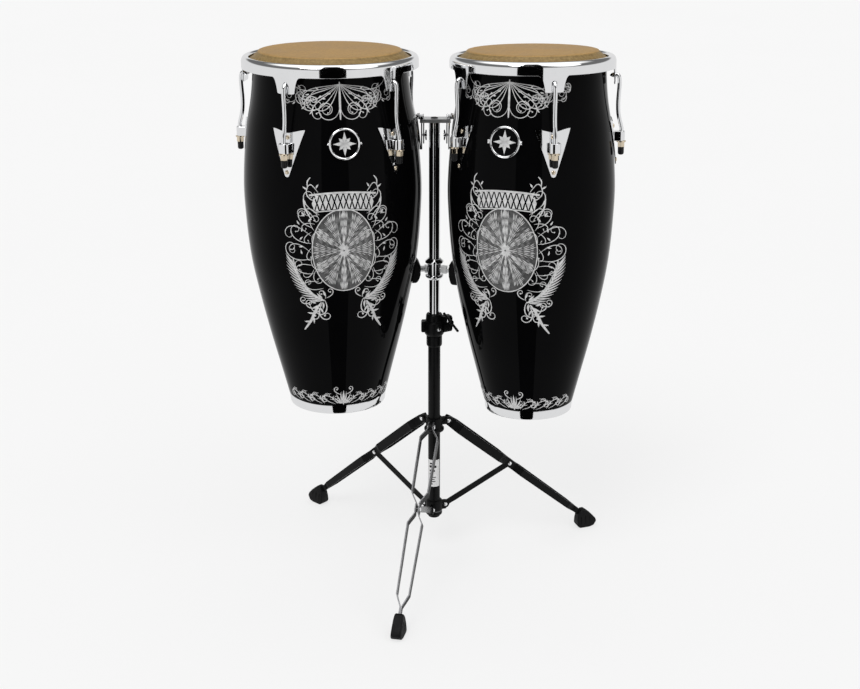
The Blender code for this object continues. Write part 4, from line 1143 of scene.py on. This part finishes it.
    mount = joined(
        ordered(x, x + 30, 9.8, 886, 950),
        ("DIFFERENCE", clear(0.8), in_pole),
        ("DIFFERENCE", joined(ordered(x + 2.5, x + 33, 12, 880, 945.6), ("DIFFERENCE", clear(3.6), in_pole))),
        ("UNION", ordered(x - 1.8, x + 3.6, 14.5, 946.6, 950.4)),
    )
    piece("hanger_plate_" + name, mount, CHROME, body, "mount_plate_" + name, bevel=0.5)

    # two studs with nuts over the hanger's hook
    studs = []
    for y in (-7.5, 7.5):
        reach = drum["top"][0] + side * math.sqrt((wall(134) + 1.5) ** 2 - (drum["top"][1] - y) ** 2) * -1
        studs.append((rod((side * (x - 1.4), y, 950.0), (reach, y, 950.0), 2.5, 20), 0))
        studs.append((rod((side * (x + 5.2), y, 950.0), (side * (x + 6.4), y, 950.0), 5.0, 32), 1))
        studs.append((rod((side * (x + 6.4), y, 950.0), (side * (x + 10.2), y, 950.0), 4.7, 6), 0))
        studs.append((dome((side * (x - 1.4), y, 950.0), (-side, 0, 0), 3.6, 2.2), 0))
    piece("hanger_studs_" + name, merged(*studs), [CHROME, EDGE], body, bevel=0.3)

    # rubber bumper
    out = Vector((*drum["support"], 0)).normalized()
    near, far = drum["pad"]
    pad_frame = Matrix(((out.x, -out.y, 0, 0), (out.y, out.x, 0, 0), (0, 0, 1, 640 * MM), (0, 0, 0, 1)))
    prof = [(near, -9), (near, 9), (near + 2, 14), (near + 6, 20), (near + 10, 28.5), (far + 14, 28.5), (far + 14, -23), (near + 8, -23), (near + 3, -16)]
    pad = slab(prof, 26.0, taper=lambda px, pz: 0.6 if px < near + 1 else (0.8 if px < near + 5 else 1.0))
    obj = temp(pad)
    mod = obj.modifiers.new("round", "BEVEL")
    mod.width, mod.segments, mod.limit_method, mod.angle_limit = 4 * MM, 4, "ANGLE", math.radians(30)
    pad = joined(evaluated(obj), ("DIFFERENCE", clear(0.8, 380, 520), pad_frame.inverted() @ in_pole))
    piece("rubber_bumper_" + name, pad, RUBBER, "support", "bumper_" + name, matrix=ON_POLE @ pad_frame, bevel=0.8, angle=45)


# ------------------------------------------------------- stage, light, camera
bm = bmesh.new()
bmesh.ops.create_circle(bm, cap_ends=True, segments=96, radius=185)
floor = bpy.data.objects.new("floor", from_bmesh(bm))
scene.collection.objects.link(floor)
floor.location = (0, 0, -0.0006)
mat = bpy.data.materials.new("pale_floor")
n = Nodes(mat)
n.link(n.ramp(n.noise(0.6, 4), (0.3, grey(0.2)), (0.7, grey(0.206))), n.shader.inputs["Base Color"])
n.shader.inputs["Emission Color"].default_value = (1, 1, 1, 1)
n.shader.inputs["Emission Strength"].default_value = 0.702
n.shader.inputs["Roughness"].default_value = 0.9
n.shader.inputs["Specular IOR Level"].default_value = 0.0
floor.data.materials.append(mat)
floor.visible_glossy = False

# a tall black card in front, seen only in reflections
card = bpy.data.objects.new("black_card", box((-440, -1465, -4000), (440, -1455, 6000)))
scene.collection.objects.link(card)
card.location = (0.005, 0, 0)
mat = bpy.data.materials.new("black_card")
n = Nodes(mat)
n.link(n.ramp(n.noise(3, 4), (0.3, grey(0.001)), (0.7, grey(0.002))), n.shader.inputs["Base Color"])
n.shader.inputs["Specular IOR Level"].default_value = 0.0
n.shader.inputs["Roughness"].default_value = 1.0
card.data.materials.append(mat)
card.visible_camera = card.visible_diffuse = card.visible_transmission = card.visible_shadow = False

world = bpy.data.worlds.new("studio")
scene.world = world
world.use_nodes = True
tree = world.node_tree
tree.nodes.clear()
out = tree.nodes.new("ShaderNodeOutputWorld")
bg = tree.nodes.new("ShaderNodeBackground")
coord = tree.nodes.new("ShaderNodeTexCoord")
sep = tree.nodes.new("ShaderNodeSeparateXYZ")
tree.links.new(coord.outputs["Generated"], sep.inputs["Vector"])


def math_node(op, a, b=None, clamp=False):
    node = tree.nodes.new("ShaderNodeMath")
    node.operation = op
    node.use_clamp = clamp
    for i, v in enumerate((a, b)):
        if v is None:
            continue
        if isinstance(v, (int, float)):
            node.inputs[i].default_value = v
        else:
            tree.links.new(v, node.inputs[i])
    return node.outputs[0]


def ease(value, low, high):
    node = tree.nodes.new("ShaderNodeMapRange")
    node.interpolation_type = "SMOOTHSTEP"
    node.inputs["From Min"].default_value = low
    node.inputs["From Max"].default_value = high
    tree.links.new(value, node.inputs["Value"])
    return node.outputs["Result"]


X, Y, Z = sep.outputs["X"], sep.outputs["Y"], sep.outputs["Z"]
ceiling = math_node("MULTIPLY", ease(Z, 0.22, 0.36), math_node("SUBTRACT", 1.0, ease(Z, 0.62, 0.8)))
walls = math_node("SUBTRACT", 1.0, math_node("MULTIPLY", ceiling, 0.8))
level = math_node("ADD", math_node("MULTIPLY", walls, 0.75), math_node("MULTIPLY", ease(Z, 0.66, 0.86), 0.55))
tree.links.new(level, bg.inputs["Strength"])
bg.inputs["Color"].default_value = (1, 1, 1, 1)
tree.links.new(bg.outputs[0], out.inputs["Surface"])


def sun(name, direction, strength, angle):
    data = bpy.data.lights.new(name, "SUN")
    data.energy, data.angle = strength, math.radians(angle)
    obj = bpy.data.objects.new(name, data)
    scene.collection.objects.link(obj)
    obj.rotation_euler = Vector(direction).to_track_quat("-Z", "Y").to_euler()
    return obj


sun("key", (0.35, 0.75, -1.0), 1.25, 28)
sun("fill", (-0.6, 0.5, -0.8), 0.5, 45)

scene.view_settings.view_transform = "Standard"
scene.view_settings.look = "None"

cam = bpy.data.cameras.new("camera")
camera = bpy.data.objects.new("camera", cam)
scene.collection.objects.link(camera)
cam.sensor_width, cam.lens = 36.0, 57.77
cam.clip_end = 200
camera.location = POLE + Vector((-0.0088, -2.6910, 1.4386))
camera.rotation_euler = (math.radians(90 - 19.69), 0, 0)
scene.camera = camera
